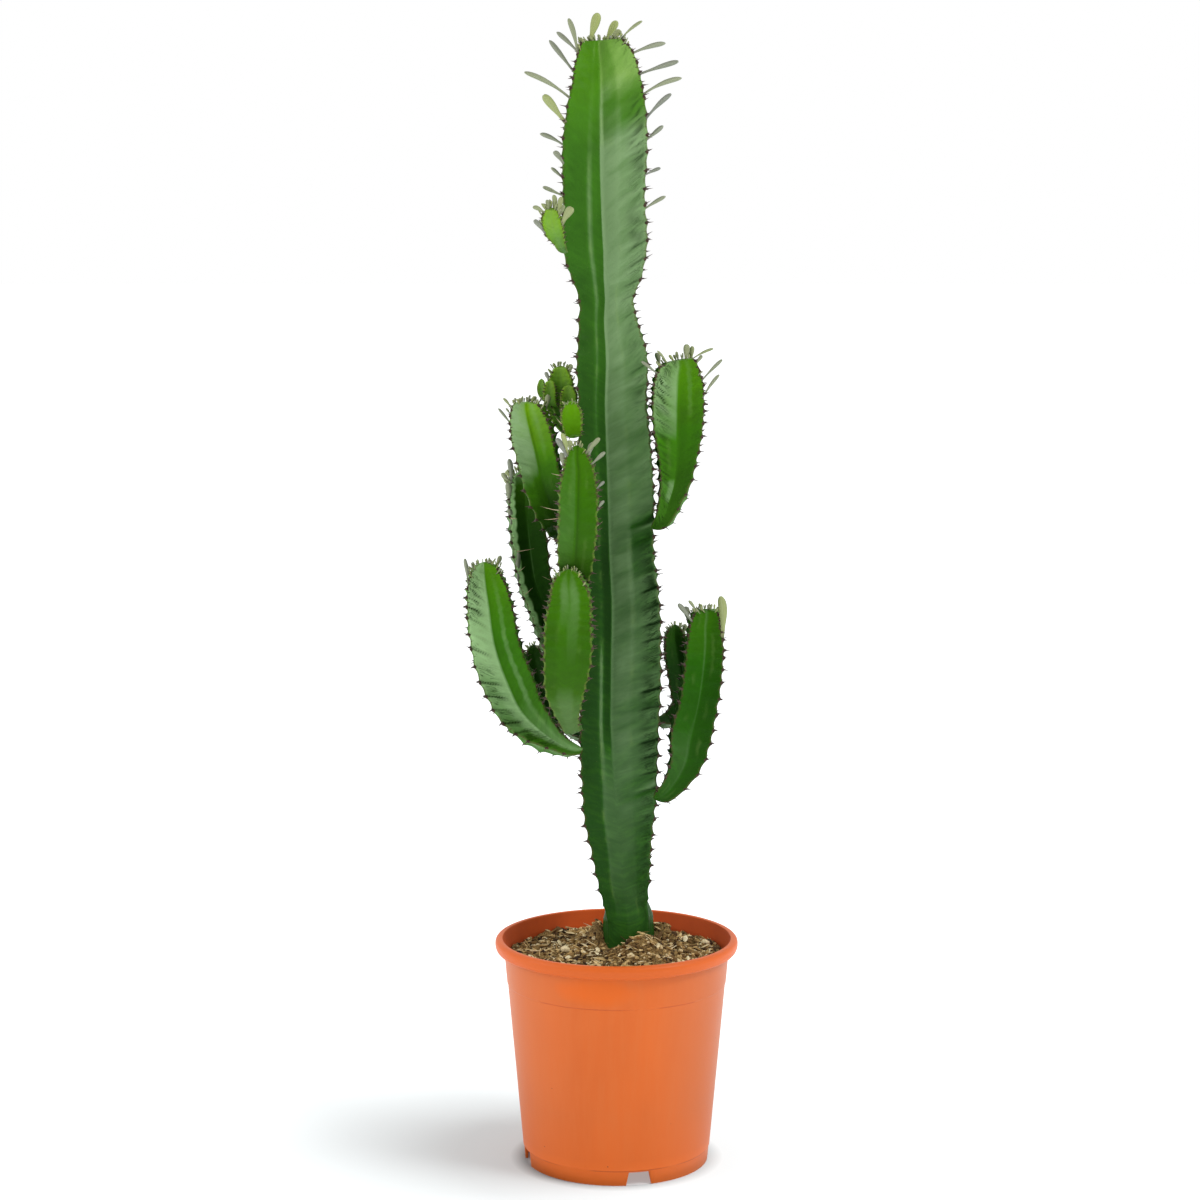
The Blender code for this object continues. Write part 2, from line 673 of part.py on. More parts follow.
def main():
    clear_scene()
    group = make_collection("potted_candelabra_euphorbia")
    cutters = make_collection("cutters")
    build_pot(group, cutters)
    build_soil(group)

    trunk = Stem("trunk", [(x, 0, z, r, a, w, q) for x, z, r, a, w, q in TRUNK], PITCH_TRUNK)
    stems = {"trunk": trunk}
    for name, (rib, root, angle, stations) in ARMS.items():
        k = int(np.argmin(np.abs(trunk.line[:, 2] - root)))
        crest, out = trunk.crest(k, rib)
        start = crest - out * ROOT_DEPTH
        start[2] = root
        rows = [(*start, 0.85 * stations[0][3])] + list(stations)
        stems[name] = Stem(name, [(*row, angle, 0.0, 0.0) for row in rows], PITCH_ARM)

    bodies = {name: stem.build(group) for name, stem in stems.items()}
    for name in ARMS:
        swollen = swollen_copy(bodies["trunk"], SEAT_GAP, group)
        combine(bodies[name], swollen, "DIFFERENCE")
        keep_largest(bodies[name])
    for name, stem in stems.items():
        item = bodies[name]
        taken = add_leaves(item, stem, stems, group)
        add_spines(item, stem, stems, taken, group)
        if name == "trunk":
            paint(item, COLOURS["trunk"], 0.4)
        else:
            item.name = "arm_" + name
            item.data.name = item.name
            paint(item, COLOURS["arm"], 0.4)


main()
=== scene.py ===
"""Dresses the potted candelabra euphorbia: a turned plastic pot, potting soil, and the four-ribbed
stems with their teeth, spines and leaves.

Sizes are in millimetres from the pot's axis and are turned to metres in the row frame when a mesh
is made. +Z is up and the front faces -Y.
"""

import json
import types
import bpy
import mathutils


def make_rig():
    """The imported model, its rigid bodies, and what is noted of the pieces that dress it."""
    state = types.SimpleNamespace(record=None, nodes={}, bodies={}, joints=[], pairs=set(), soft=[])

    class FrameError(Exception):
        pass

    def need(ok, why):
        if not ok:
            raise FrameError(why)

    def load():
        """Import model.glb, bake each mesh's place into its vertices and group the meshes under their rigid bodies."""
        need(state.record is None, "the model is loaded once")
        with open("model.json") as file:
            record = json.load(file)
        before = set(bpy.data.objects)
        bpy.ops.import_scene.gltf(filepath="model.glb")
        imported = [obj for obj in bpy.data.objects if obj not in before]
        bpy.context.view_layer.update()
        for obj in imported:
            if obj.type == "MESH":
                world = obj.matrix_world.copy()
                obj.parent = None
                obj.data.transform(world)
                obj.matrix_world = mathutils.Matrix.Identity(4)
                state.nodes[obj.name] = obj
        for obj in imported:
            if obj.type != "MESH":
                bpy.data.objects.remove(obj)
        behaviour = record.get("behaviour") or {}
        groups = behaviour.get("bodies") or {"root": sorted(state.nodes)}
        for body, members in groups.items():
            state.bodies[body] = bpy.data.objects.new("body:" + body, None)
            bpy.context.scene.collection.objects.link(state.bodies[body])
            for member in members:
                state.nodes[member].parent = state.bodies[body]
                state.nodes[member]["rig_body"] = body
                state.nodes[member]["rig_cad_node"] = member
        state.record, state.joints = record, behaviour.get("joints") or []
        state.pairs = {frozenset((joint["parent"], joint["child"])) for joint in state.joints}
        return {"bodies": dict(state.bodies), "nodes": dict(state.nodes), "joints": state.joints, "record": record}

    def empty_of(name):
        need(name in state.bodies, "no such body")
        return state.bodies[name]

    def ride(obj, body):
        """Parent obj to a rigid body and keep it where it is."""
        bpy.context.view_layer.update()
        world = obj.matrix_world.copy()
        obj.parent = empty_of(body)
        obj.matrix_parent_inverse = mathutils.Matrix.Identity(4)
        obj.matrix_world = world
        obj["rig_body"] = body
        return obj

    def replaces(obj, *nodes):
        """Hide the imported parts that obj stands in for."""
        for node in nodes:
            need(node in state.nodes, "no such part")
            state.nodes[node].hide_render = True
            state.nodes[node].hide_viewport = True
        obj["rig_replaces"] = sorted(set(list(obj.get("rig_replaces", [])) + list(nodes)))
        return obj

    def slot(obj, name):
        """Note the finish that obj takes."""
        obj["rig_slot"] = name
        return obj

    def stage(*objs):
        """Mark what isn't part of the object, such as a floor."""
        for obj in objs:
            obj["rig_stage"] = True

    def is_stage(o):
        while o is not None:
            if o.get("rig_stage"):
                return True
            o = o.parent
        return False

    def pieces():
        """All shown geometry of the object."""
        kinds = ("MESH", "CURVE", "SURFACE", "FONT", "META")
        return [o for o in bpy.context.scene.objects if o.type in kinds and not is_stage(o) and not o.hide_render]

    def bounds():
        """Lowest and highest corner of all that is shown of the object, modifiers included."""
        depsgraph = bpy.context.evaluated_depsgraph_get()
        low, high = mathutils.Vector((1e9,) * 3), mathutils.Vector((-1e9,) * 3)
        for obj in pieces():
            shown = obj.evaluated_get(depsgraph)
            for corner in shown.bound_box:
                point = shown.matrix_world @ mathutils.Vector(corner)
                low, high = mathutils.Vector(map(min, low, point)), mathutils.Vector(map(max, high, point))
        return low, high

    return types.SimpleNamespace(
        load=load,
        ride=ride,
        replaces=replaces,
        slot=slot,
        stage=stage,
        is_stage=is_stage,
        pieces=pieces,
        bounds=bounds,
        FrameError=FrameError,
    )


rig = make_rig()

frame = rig.load()

import json
import math

import bpy
import numpy as np
from mathutils import Matrix

cad_low, cad_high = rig.bounds()


# Pot.
# A nursery pot injection-moulded in orange-brown plastic, 210 mm over the rim. A plain collar
# hangs from the rim, faint steps run round the wall, and four notches are cut in the foot ring.

POT_X = 13.5
POT_AXIS = np.array([POT_X, 0.0, 0.0])
RIM_RADIUS = 105.0
RIM_TOP = 196.0
LIP_RADIUS = 98.3
COLLAR_FOOT = 183.0
UPPER_STEP = 157.0
LOWER_STEP = 12.8
STEP_DEPTH = 0.5
FOOT_RADIUS = 80.0
FOOT_WIDTH = 2.2
WALL_SLOPE = 0.0907
WALL = 1.7
FLOOR_TOP = 13.6
FLOOR_UNDERSIDE = 11.9
NOTCH_TOP = 11.4
NOTCH_ANGLE = math.radians(-76.3)
# Half widths of a notch at its top and at its foot, as turns about the pot's axis in radians.
NOTCH_HALF_TOP = 0.111
NOTCH_HALF_FOOT = 0.1415


class Wire:
    """One output socket of a material. Arithmetic with wires and numbers adds Math nodes."""

    def __init__(self, socket):
        self.socket = socket
        self.tree = socket.id_data

    def node(self, kind, settings=None, sockets=None, out=0):
        """A new node: its settings first, then its sockets' values or links. Returns an output."""
        made = self.tree.nodes.new(kind)
        for key, value in (settings or {}).items():
            if key == "stops":
                ramp = made.color_ramp.elements
                while len(ramp) < len(value):
                    ramp.new(0.5)
                for stop, (place, colour) in zip(ramp, value):
                    stop.position = place
                    stop.color = (*colour, 1.0)
            else:
                setattr(made, key, value)
        for key, value in (sockets or {}).items():
            if isinstance(value, Wire):
                self.tree.links.new(value.socket, made.inputs[key])
            else:
                made.inputs[key].default_value = value
        return Wire(made.outputs[out])

    def math(self, operation, *values, clamp=False):
        settings = {"operation": operation, "use_clamp": clamp}
        return self.node("ShaderNodeMath", settings, dict(enumerate(values)))

    def __add__(self, other):
        return self.math("ADD", self, other)

    __radd__ = __add__

    def __sub__(self, other):
        return self.math("SUBTRACT", self, other)

    def __rsub__(self, other):
        return self.math("SUBTRACT", other, self)

    def __mul__(self, other):
        return self.math("MULTIPLY", self, other)

    def __truediv__(self, other):
        return self.math("DIVIDE", self, other)

    def __pow__(self, other):
        return self.math("POWER", self, other)

    def __abs__(self):
        return self.math("ABSOLUTE", self)

    def clamped(self):
        return self.math("ADD", self, 0.0, clamp=True)

    def ramp(self, low, high):
        """0 below low, 1 above high, straight between; low may be the larger."""
        sockets = {0: self, 1: low, 2: high, 3: 0.0, 4: 1.0}
        return self.node("ShaderNodeMapRange", {"clamp": True}, sockets)

    def mix(self, first, second):
        """A colour that goes from first to second as this wire goes from 0 to 1."""
        sockets = {0: self}
        for slot, colour in ((6, first), (7, second)):
            sockets[slot] = colour if isinstance(colour, Wire) else (*colour, 1.0)
        return self.node("ShaderNodeMix", {"data_type": "RGBA"}, sockets, 2)

    def stretched(self, x, y, z):
        """This vector with each part multiplied by its own number."""
        sockets = {0: self, 1: (x, y, z)}
        return self.node("ShaderNodeVectorMath", {"operation": "MULTIPLY"}, sockets)

    def noise(self, scale, detail=2.0, roughness=0.5):
        sockets = {"Vector": self, "Scale": scale, "Detail": detail, "Roughness": roughness}
        return self.node("ShaderNodeTexNoise", None, sockets, 0)

    def spots(self, scale, radius):
        """1 inside round specks scattered through space, 0 outside."""
        cells = self.node("ShaderNodeTexVoronoi", None, {"Vector": self, "Scale": scale}, 0)
        return cells.ramp(radius, radius * 0.6)

    def parts(self):
        split = self.node("ShaderNodeSeparateXYZ", None, {0: self})
        return [Wire(split.socket.node.outputs[i]) for i in range(3)]

    def field(self, name):
        """The three numbers that a mesh attribute holds at each point."""
        return self.node("ShaderNodeAttribute", {"attribute_name": name}, None, 1).parts()


def new_finish(name, **values):
    """A material with its shader's plain values set; returns it, its shader and the object
    coordinates in millimetres."""
    material = bpy.data.materials.new(name)
    material.use_nodes = True
    shader = material.node_tree.nodes["Principled BSDF"]
    for key, value in values.items():
        shader.inputs[key.replace("_", " ").title().replace("Ior", "IOR")].default_value = value
    place = material.node_tree.nodes.new("ShaderNodeTexCoord")
    return material, shader, Wire(place.outputs["Object"]).stretched(1000.0, 1000.0, 1000.0)


def apply_paint(shader, colour, roughness=None, height=None, depth_mm=0.0):
    """Link the varying colour, roughness and bump height to the shader."""
    tree = shader.id_data
    tree.links.new(colour.socket, shader.inputs["Base Color"])
    if roughness is not None:
        tree.links.new(roughness.socket, shader.inputs["Roughness"])
    if height is not None:
        sockets = {"Strength": 1.0, "Distance": depth_mm * 0.001, "Height": height}
        bump = height.node("ShaderNodeBump", None, sockets)
        tree.links.new(bump.socket, shader.inputs["Normal"])


def tube_faces(rows, columns):
    """The faces of a grid whose columns close on themselves: quads between its rows, and one
    face over each end."""
    low = np.arange(rows - 1)[:, None] * columns
    here = np.arange(columns)[None, :]
    ahead = (here + 1) % columns
    quads = np.stack([low + here, low + ahead, low + columns + ahead, low + columns + here], axis=-1)
    ends = [list(range(columns))[::-1], list(range((rows - 1) * columns, rows * columns))]
    return quads.reshape(-1, 4).tolist() + ends


def make_piece(name, points, faces, material, smooth=True, fields=None):
    """A mesh piece from points in millimetres about the pot's axis. Faces are index lists; they
    are turned round if the volume they enclose comes out negative. A field gives three numbers,
    or one, for each point."""
    spots = (np.asarray(points, float).reshape(-1, 3) + POT_AXIS) * 0.001
    faces = [list(face) for face in faces]
    quads = np.array([face[:3] for face in faces])
    middle = spots.mean(axis=0)
    a, b, c = (spots[quads[:, i]] - middle for i in range(3))
    if np.einsum("ij,ij->i", a, np.cross(b, c)).sum() < 0.0:
        faces = [face[::-1] for face in faces]
    mesh = bpy.data.meshes.new(name)
    mesh.from_pydata(spots.tolist(), [], faces)
    mesh.polygons.foreach_set("use_smooth", np.full(len(faces), smooth))
    for field, values in (fields or {}).items():
        layer = mesh.attributes.new(field, "FLOAT_VECTOR", "POINT")
        values = np.asarray(values, np.float32).reshape(len(spots), -1)
        layer.data.foreach_set("vector", np.broadcast_to(values, (len(spots), 3)).reshape(-1))
    mesh.materials.append(material)
    piece = bpy.data.objects.new(name, mesh)
    bpy.context.scene.collection.objects.link(piece)
    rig.ride(piece, "root")
    return piece


def wall_radius(z):
    return FOOT_RADIUS + WALL_SLOPE * z


def rounded(corners, radius, steps=4):
    """The profile with each inner corner replaced by a quadratic arc that starts and ends the
    radius away from it, or less where the sides are short."""
    corners = np.array(corners, float)
    path = [corners[0]]
    for before, corner, after in zip(corners[:-2], corners[1:-1], corners[2:]):
        back, ahead = before - corner, after - corner
        reach_back = min(radius, 0.45 * np.hypot(*back))
        reach_ahead = min(radius, 0.45 * np.hypot(*ahead))
        start = corner + back / np.hypot(*back) * reach_back
        end = corner + ahead / np.hypot(*ahead) * reach_ahead
        t = np.linspace(0.0, 1.0, steps)[:, None]
        path.extend(start * (1 - t) ** 2 + corner * 2 * t * (1 - t) + end * t**2)
    path.append(corners[-1])
    return np.array(path)


def turned_pot():
    """The wall's section turned about the axis, from the middle of the floor up the inside, over
    the rolled rim, down the outside and in under the floor. Inside a notch the foot ring's lower
    edge rises to the notch's top, with sloping sides; everything else is round."""
    half = np.array([0.05, NOTCH_HALF_TOP, NOTCH_HALF_FOOT])
    between = np.linspace(NOTCH_HALF_FOOT, math.pi / 2 - NOTCH_HALF_FOOT, 40)[1:-1]
    turns = np.concatenate([-half[::-1], [0.0], half, between])
    turns = (turns[None, :] + NOTCH_ANGLE + np.arange(4)[:, None] * math.pi / 2).reshape(-1)
    away = np.abs((turns - NOTCH_ANGLE + math.pi / 4) % (math.pi / 2) - math.pi / 4)
    foot = NOTCH_TOP * (away < (NOTCH_HALF_TOP + NOTCH_HALF_FOOT) / 2)
    wall = [
        (1.0, FLOOR_TOP), (wall_radius(FLOOR_TOP) - WALL, FLOOR_TOP),
        (wall_radius(COLLAR_FOOT) - WALL + STEP_DEPTH, COLLAR_FOOT),
        (LIP_RADIUS, RIM_TOP - 1.0), (LIP_RADIUS + 0.6, RIM_TOP), (RIM_RADIUS - 3.4, RIM_TOP),
        (RIM_RADIUS - 1.6, RIM_TOP - 0.7), (RIM_RADIUS - 0.4, RIM_TOP - 2.2), (RIM_RADIUS, RIM_TOP - 4.4),
        (RIM_RADIUS - 0.2, RIM_TOP - 7.0), (RIM_RADIUS - 1.1, RIM_TOP - 9.6),
        (RIM_RADIUS - 2.6, RIM_TOP - 11.2), (RIM_RADIUS - 3.9, RIM_TOP - 11.3),
        (RIM_RADIUS - 4.0, RIM_TOP - 2.6), (LIP_RADIUS + 1.4, RIM_TOP - 2.6),
        (wall_radius(COLLAR_FOOT) + STEP_DEPTH, COLLAR_FOOT),
        (wall_radius(UPPER_STEP + 0.4) + STEP_DEPTH, UPPER_STEP + 0.4),
        (wall_radius(UPPER_STEP - 0.4), UPPER_STEP - 0.4), (wall_radius(LOWER_STEP + 0.4), LOWER_STEP + 0.4),
        (wall_radius(LOWER_STEP - 0.4) - STEP_DEPTH, LOWER_STEP - 0.4)]
    ring_radius = FOOT_RADIUS - STEP_DEPTH
    under = [(ring_radius, None), (ring_radius - FOOT_WIDTH, None),
             (ring_radius - 1.9, FLOOR_UNDERSIDE), (1.0, FLOOR_UNDERSIDE)]
    rows = []
    for radius, z in list(rounded(wall, 0.7)) + under:
        height = foot if z is None else np.full(len(turns), z)
        rows.append(np.stack([radius * np.cos(turns), radius * np.sin(turns), height], axis=1))
    points = np.array(rows)
    return points, tube_faces(*points.shape[:2])


def from_pot_axis(x, y):
    """Distance from the pot's upright axis over the whole of a surface."""
    return ((x - POT_X) * (x - POT_X) + y * y) ** 0.5


pot_finish, pot_shader, at = new_finish(
    "orange_plastic", roughness=0.42, ior=1.46, specular_ior_level=0.25)
x, y, z = at.parts()
clouds = at.stretched(1.0, 1.0, 0.35).noise(0.02, 3.0)
fine = at.noise(0.9, 4.0, 0.6)
streaks = at.stretched(1.0, 1.0, 0.12).noise(0.16, 3.0, 0.6)
colour = clouds.ramp(0.35, 0.7).mix((0.665, 0.129, 0.019), (0.735, 0.143, 0.020))
colour = (streaks.ramp(0.42, 0.68) * 0.3).mix(colour, (0.70, 0.160, 0.034))
# Painted sheen: the wall turns paler and pinker towards its left and right sides. Painted shade: its right side is
# darker.
colour = (abs(x - POT_X).ramp(28.0, 92.0) * 0.85).mix(colour, (0.575, 0.146, 0.042))
colour = (x.ramp(50.0, 108.0) * 0.45).mix(colour, (0.470, 0.112, 0.032))
# Painted light: the wall grows brighter and warmer towards the bottom, where light bounces up from the floor.
colour = (z.ramp(60.0, 0.0) * 0.5).mix(colour, (0.80, 0.140, 0.012))
colour = (z.ramp(22.0, 0.0) * 0.5).mix(colour, (0.98, 0.205, 0.030))
# Painted shade: a deeper, more saturated orange patch on the front of the wall just below the collar.
off_middle = (x + 4.0) * (x + 4.0) * 0.0009 + (z - 172.0) * (z - 172.0) * 0.006
collar_shade_patch = (off_middle + (at.noise(0.06, 3.0) - 0.5)).ramp(1.3, 0.2) * y.ramp(0.0, -60.0)
colour = (collar_shade_patch * 0.7).mix(colour, (0.78, 0.130, 0.004))
colour = z.ramp(COLLAR_FOOT + 0.5, COLLAR_FOOT + 2.0).mix(colour, (0.665, 0.120, 0.016))
colour = (at.spots(0.055, 0.035) * at.noise(0.03).ramp(0.5, 0.6)).mix(colour, (0.22, 0.055, 0.02))
colour = (at.spots(0.031, 0.022) * at.noise(0.02).ramp(0.45, 0.55)).mix(colour, (0.85, 0.45, 0.24))
# Painted shade: a thin darker line along each of the two steps in the wall.
for step, shade in ((UPPER_STEP - 0.1, (0.52, 0.085, 0.015)), (LOWER_STEP + 0.1, (0.50, 0.080, 0.014))):
    line = abs(z - step).ramp(0.75, 0.3) * at.noise(0.03, 2.0).ramp(0.4, 0.55)
    colour = (line * 0.7).mix(colour, shade)
from_axis = from_pot_axis(x, y)
# Painted shade: the inside of the wall and the lip, from 150 mm up, is darker and redder and a little rougher.
inner_wall = (from_axis - z * WALL_SLOPE).ramp(FOOT_RADIUS - 0.6, FOOT_RADIUS - 0.9)
inner_lip = from_axis.ramp(LIP_RADIUS + 0.5, LIP_RADIUS + 0.2) * z.ramp(COLLAR_FOOT + 1.0, COLLAR_FOOT + 2.0)
inner_shade = inner_wall.math("MAXIMUM", inner_wall, inner_lip) * z.ramp(140.0, 150.0)
colour = inner_shade.mix(colour, clouds.ramp(0.3, 0.7).mix((0.46, 0.066, 0.009), (0.66, 0.102, 0.014)))
apply_paint(pot_shader, colour, 0.36 + fine * 0.16 + inner_shade * 0.3, fine, 0.05)
points, faces = turned_pot()
pot = make_piece("pot_shell", points, faces, pot_finish)
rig.replaces(pot, "pot")
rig.slot(pot, "pot_plastic")


# Soil.
# A moist, lumpy mix of peat, bark and coir that fills the pot to a little below the rim. It is
# pressed down by hand and heaped round the stem, and pale chips and coir threads lie on it.

SOIL_EDGE = 181.0
TRUNK_X = 10.0
SOIL_RADIUS = wall_radius(SOIL_EDGE) - WALL - 0.6
# Rise of a heap, its place from the pot's axis and its spread.
SOIL_HEAPS = [
    (15.0, 25.0, -31.0, 17.0), (6.0, 52.0, -8.0, 16.0), (-4.0, -12.0, -30.0, 15.0),
    (17.0, -18.0, 8.0, 10.0), (14.0, -15.0, -3.0, 7.0), (17.0, 40.0, 6.0, 10.0),
    (4.0, -60.0, -25.0, 20.0)]
draw = np.random.default_rng(7)


def soft_noise(seed, *coordinates):
    """Smooth value noise from 0 to 1: random values on a lattice, blended between lattice points
    with the curve 3t^2 - 2t^3 along each coordinate."""
    table = np.random.default_rng(seed).random(4096)
    coordinates = np.broadcast_arrays(*[np.asarray(c, float) for c in coordinates])
    cells = [np.floor(c).astype(int) for c in coordinates]
    blends = [c - n for c, n in zip(coordinates, cells)]
    blends = [t * t * (3 - 2 * t) for t in blends]
    total = 0.0
    for corner in range(2 ** len(coordinates)):
        index = 0
        weight = 1.0
        for axis, (cell, blend) in enumerate(zip(cells, blends)):
            step = (corner >> axis) & 1
            index = index * 71 + (cell + step) * (131 + 46 * axis)
            weight = weight * (blend if step else 1 - blend)
        total = total + table[np.abs(index) % 4096] * weight
    return total


def soil_height(x, y):
    """The solid's heaped surface with crumbs added: three sizes of noise, the finest sharpest.
    The heaps lie round the stem, high in front at its right and against its left side."""
    height = SOIL_EDGE + 14.0 * np.exp(-((x - TRUNK_X) ** 2 + y**2) / 46.0**2)
    for rise, heap_x, heap_y, spread in SOIL_HEAPS:
        height = height + rise * np.exp(-((x - heap_x) ** 2 + (y - heap_y) ** 2) / spread**2)
    for seed, size, lift in ((11, 13.0, 5.0), (12, 5.5, 4.2), (13, 2.4, 2.4)):
        height = height + lift * (soft_noise(seed, x / size, y / size) - 0.5)
    return height - 0.5


def soil_surface():
    """Rings from the middle out to the pot's wall, then a skirt that runs down beside the wall and
    closes the mass from below."""
    radii = np.concatenate([np.linspace(0.8, SOIL_RADIUS, 110), [SOIL_RADIUS - 4.0, 60.0, 0.8]])
    turns = np.linspace(0.0, 2 * math.pi, 300, endpoint=False)
    x = radii[:, None] * np.cos(turns)
    y = radii[:, None] * np.sin(turns)
    z = soil_height(x, y)
    z[-3] = 150.0
    z[-2:] = 140.0
    return np.stack([x, y, z], axis=-1)


def crumbs(count, sizes, flatness, stretch, lift):
    """Small rounded lumps strewn on the soil: each a 6-sided ball of 4 rings, roughened, flattened
    and stretched by random amounts, turned at random and lifted by a share of its size."""
    radius = np.sqrt(draw.random(count)) * (SOIL_RADIUS - 2.5)
    turned = draw.random(count) * 2 * math.pi
    x, y = radius * np.cos(turned), radius * np.sin(turned)
    size = draw.uniform(*sizes, count)
    around = np.linspace(0, 2 * math.pi, 6, endpoint=False)
    levels = np.array([-0.95, -0.5, 0.35, 0.95])
    girth = np.array([0.25, 0.95, 0.9, 0.2])
    ball = np.stack([
        girth[:, None] * np.cos(around), girth[:, None] * np.sin(around),
        np.broadcast_to(levels[:, None], (4, 6))], axis=-1).reshape(-1, 3)
    shapes = ball[None] * draw.uniform(0.75, 1.25, (count, len(ball), 1))
    scale = np.stack([
        size * draw.uniform(*stretch, count), size, size * draw.uniform(*flatness, count)], axis=-1)
    shapes = shapes * scale[:, None, :] / 2
    yaw = draw.random(count) * 2 * math.pi
    pitch = draw.normal(0.0, 0.35, count)
    shapes = turn_about(shapes, pitch, (0, 2))
    shapes = turn_about(shapes, yaw, (0, 1))
    base = np.stack([x, y, soil_height(x, y) + size * lift], axis=-1)
    points = shapes + base[:, None, :]
    tint = np.repeat(draw.random(count), len(ball))
    return points.reshape(-1, 3), repeat_faces(tube_faces(4, 6), count, len(ball)), tint


def turn_about(shapes, angles, axes):
    """Turn each shape in the plane of two axes by its own angle."""
    first, second = axes
    turned = shapes.copy()
    c, s = np.cos(angles)[:, None], np.sin(angles)[:, None]
    turned[..., first] = shapes[..., first] * c - shapes[..., second] * s
    turned[..., second] = shapes[..., first] * s + shapes[..., second] * c
    return turned


def repeat_faces(one, count, size):
    """The faces of one shape repeated for shapes of that many points that follow each other."""
    starts = np.arange(count)[:, None] * size
    return [face for first in one for face in (starts + np.array(first)).tolist()]


soil_finish, soil_shader, at = new_finish("potting_mix", roughness=0.95, specular_ior_level=0.2)
coarse = at.noise(0.16, 3.0, 0.6)
crumb = at.noise(0.55, 4.0, 0.7)
grain = at.noise(1.6, 3.0, 0.7)
colour = crumb.ramp(0.34, 0.62).mix((0.040, 0.020, 0.007), (0.46, 0.29, 0.10))
colour = grain.ramp(0.55, 0.68).mix(colour, (0.82, 0.60, 0.27))
colour = (coarse.ramp(0.62, 0.35) * 0.6).mix(colour, (0.050, 0.028, 0.011))
apply_paint(soil_shader, colour, None, crumb * 0.6 + grain * 0.4, 1.6)
points = soil_surface()
soil = make_piece("soil_surface", points, tube_faces(*points.shape[:2]), soil_finish)
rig.replaces(soil, "soil")
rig.slot(soil, "potting_soil")

bit_finish, bit_shader, at = new_finish("bark_and_coir", roughness=0.9, specular_ior_level=0.25)
tint = at.field("bit")[0]
colour = tint.node("ShaderNodeValToRGB", {"stops": [
    (0.0, (0.036, 0.018, 0.008)), (0.25, (0.19, 0.105, 0.034)), (0.5, (0.44, 0.275, 0.095)),
    (0.75, (0.74, 0.53, 0.24)), (1.0, (0.92, 0.80, 0.52))]}, {0: tint})
grain = at.noise(0.9, 3.0, 0.65)
colour = (grain.ramp(0.55, 0.3) * 0.5).mix(colour, (0.03, 0.016, 0.009))
apply_paint(bit_shader, colour, None, grain, 0.5)
# Name, whether it is earth (dark and rounded) rather than wood (pale and sharp), how many, their
# sizes, then height, length and lift as shares of the size.
for name, earth, *kind in (
    ("soil_lumps", True, 110, (4.5, 9.0), (0.5, 0.8), (0.9, 1.4), 0.1),
    ("soil_crumbs", True, 2300, (1.4, 3.9), (0.5, 0.9), (0.9, 1.5), 0.1),
    ("soil_chips", False, 640, (1.5, 3.6), (0.2, 0.4), (1.5, 3.0), 0.2),
    ("soil_curls", False, 130, (3.0, 5.0), (0.2, 0.35), (1.8, 3.0), 0.35),
    ("soil_fibres", False, 520, (0.6, 1.1), (0.8, 1.0), (7.0, 18.0), 1.6),
):
    points, faces, tints = crumbs(*kind)
    fields = {"bit": tints ** (1.9 if earth else 0.6)}
    make_piece(name, points, faces, bit_finish, smooth=earth, fields=fields)


# Trunk.
# The old stem, one living piece of waxy green flesh rooted in the soil: four thin ribs with
# toothed crests, a waist where a season's growth stopped and a broader, brighter top.

ROW_STEP = 1.43
TOOTH_PITCH = 14.4
TRUNK_HOLLOW = 0.50
# Where the rings of a spine stand along it, as shares of its length.
SPINE_RINGS = np.array([0.0, 0.35, 0.75, 1.0])

# Stations from the foot up: x, z, crest radius, half distance between the knees where the thin
# ribs leave the core, roundness, how far the valley lines lie to the side, their depth's share.
TRUNK = [
    (10, 170, 23.4, 6, 0.9, 0, 0.0), (10, 200, 23.8, 6, 0.9, 0, 0.0), (10, 214, 24.0, 6, 0.8, 0, 0.0),
    (8, 228, 27.0, 8, 0.28, 0, 0.0), (6, 249, 33.0, 11, 0.05, 0, 0.0), (4, 276, 38.3, 12, 0, 0, 0.0),
    (2, 306, 44.5, 13, 0, 1, 0.02), (2, 341, 47.6, 13, 0, 4, 0.06), (2, 386, 49.6, 13, 0, 7, 0.11),
    (2.5, 438, 51.2, 13, 0, 7, 0.13), (2.5, 490, 49.2, 13, 0, 6.5, 0.13), (0.4, 532, 45.2, 13, 0, 6.5, 0.13),
    (-0.2, 575, 46.1, 13, 0, 7, 0.13), (-1.4, 613, 45.0, 13, 0, 7, 0.13), (-4, 660, 42.6, 12, 0, 5.5, 0.13),
    (-4.5, 696, 43.2, 11, 0, 4, 0.13), (-8, 727, 35.7, 9, 0, 2, 0.13), (-9, 744, 33.3, 8, 0, 0, 0.13),
    (-9, 764, 43.0, 10, 0, 1, 0.13), (-10, 785, 50.0, 12, 0, 0, 0.13), (-11, 827, 49.1, 12, 0, 1, 0.13),
    (-10, 876, 50.2, 12, 0, 3, 0.13), (-9, 897, 47.8, 12, 0, 4.5, 0.13), (-9, 925, 41.2, 10, 0, 4.5, 0.13),
    (-10.5, 942, 36.0, 8, 0, 3.5, 0.13), (-12, 951, 30.5, 6, 0, 3, 0.13),
    (-12.5, 957, 25.0, 5, 0, 2.5, 0.13)]


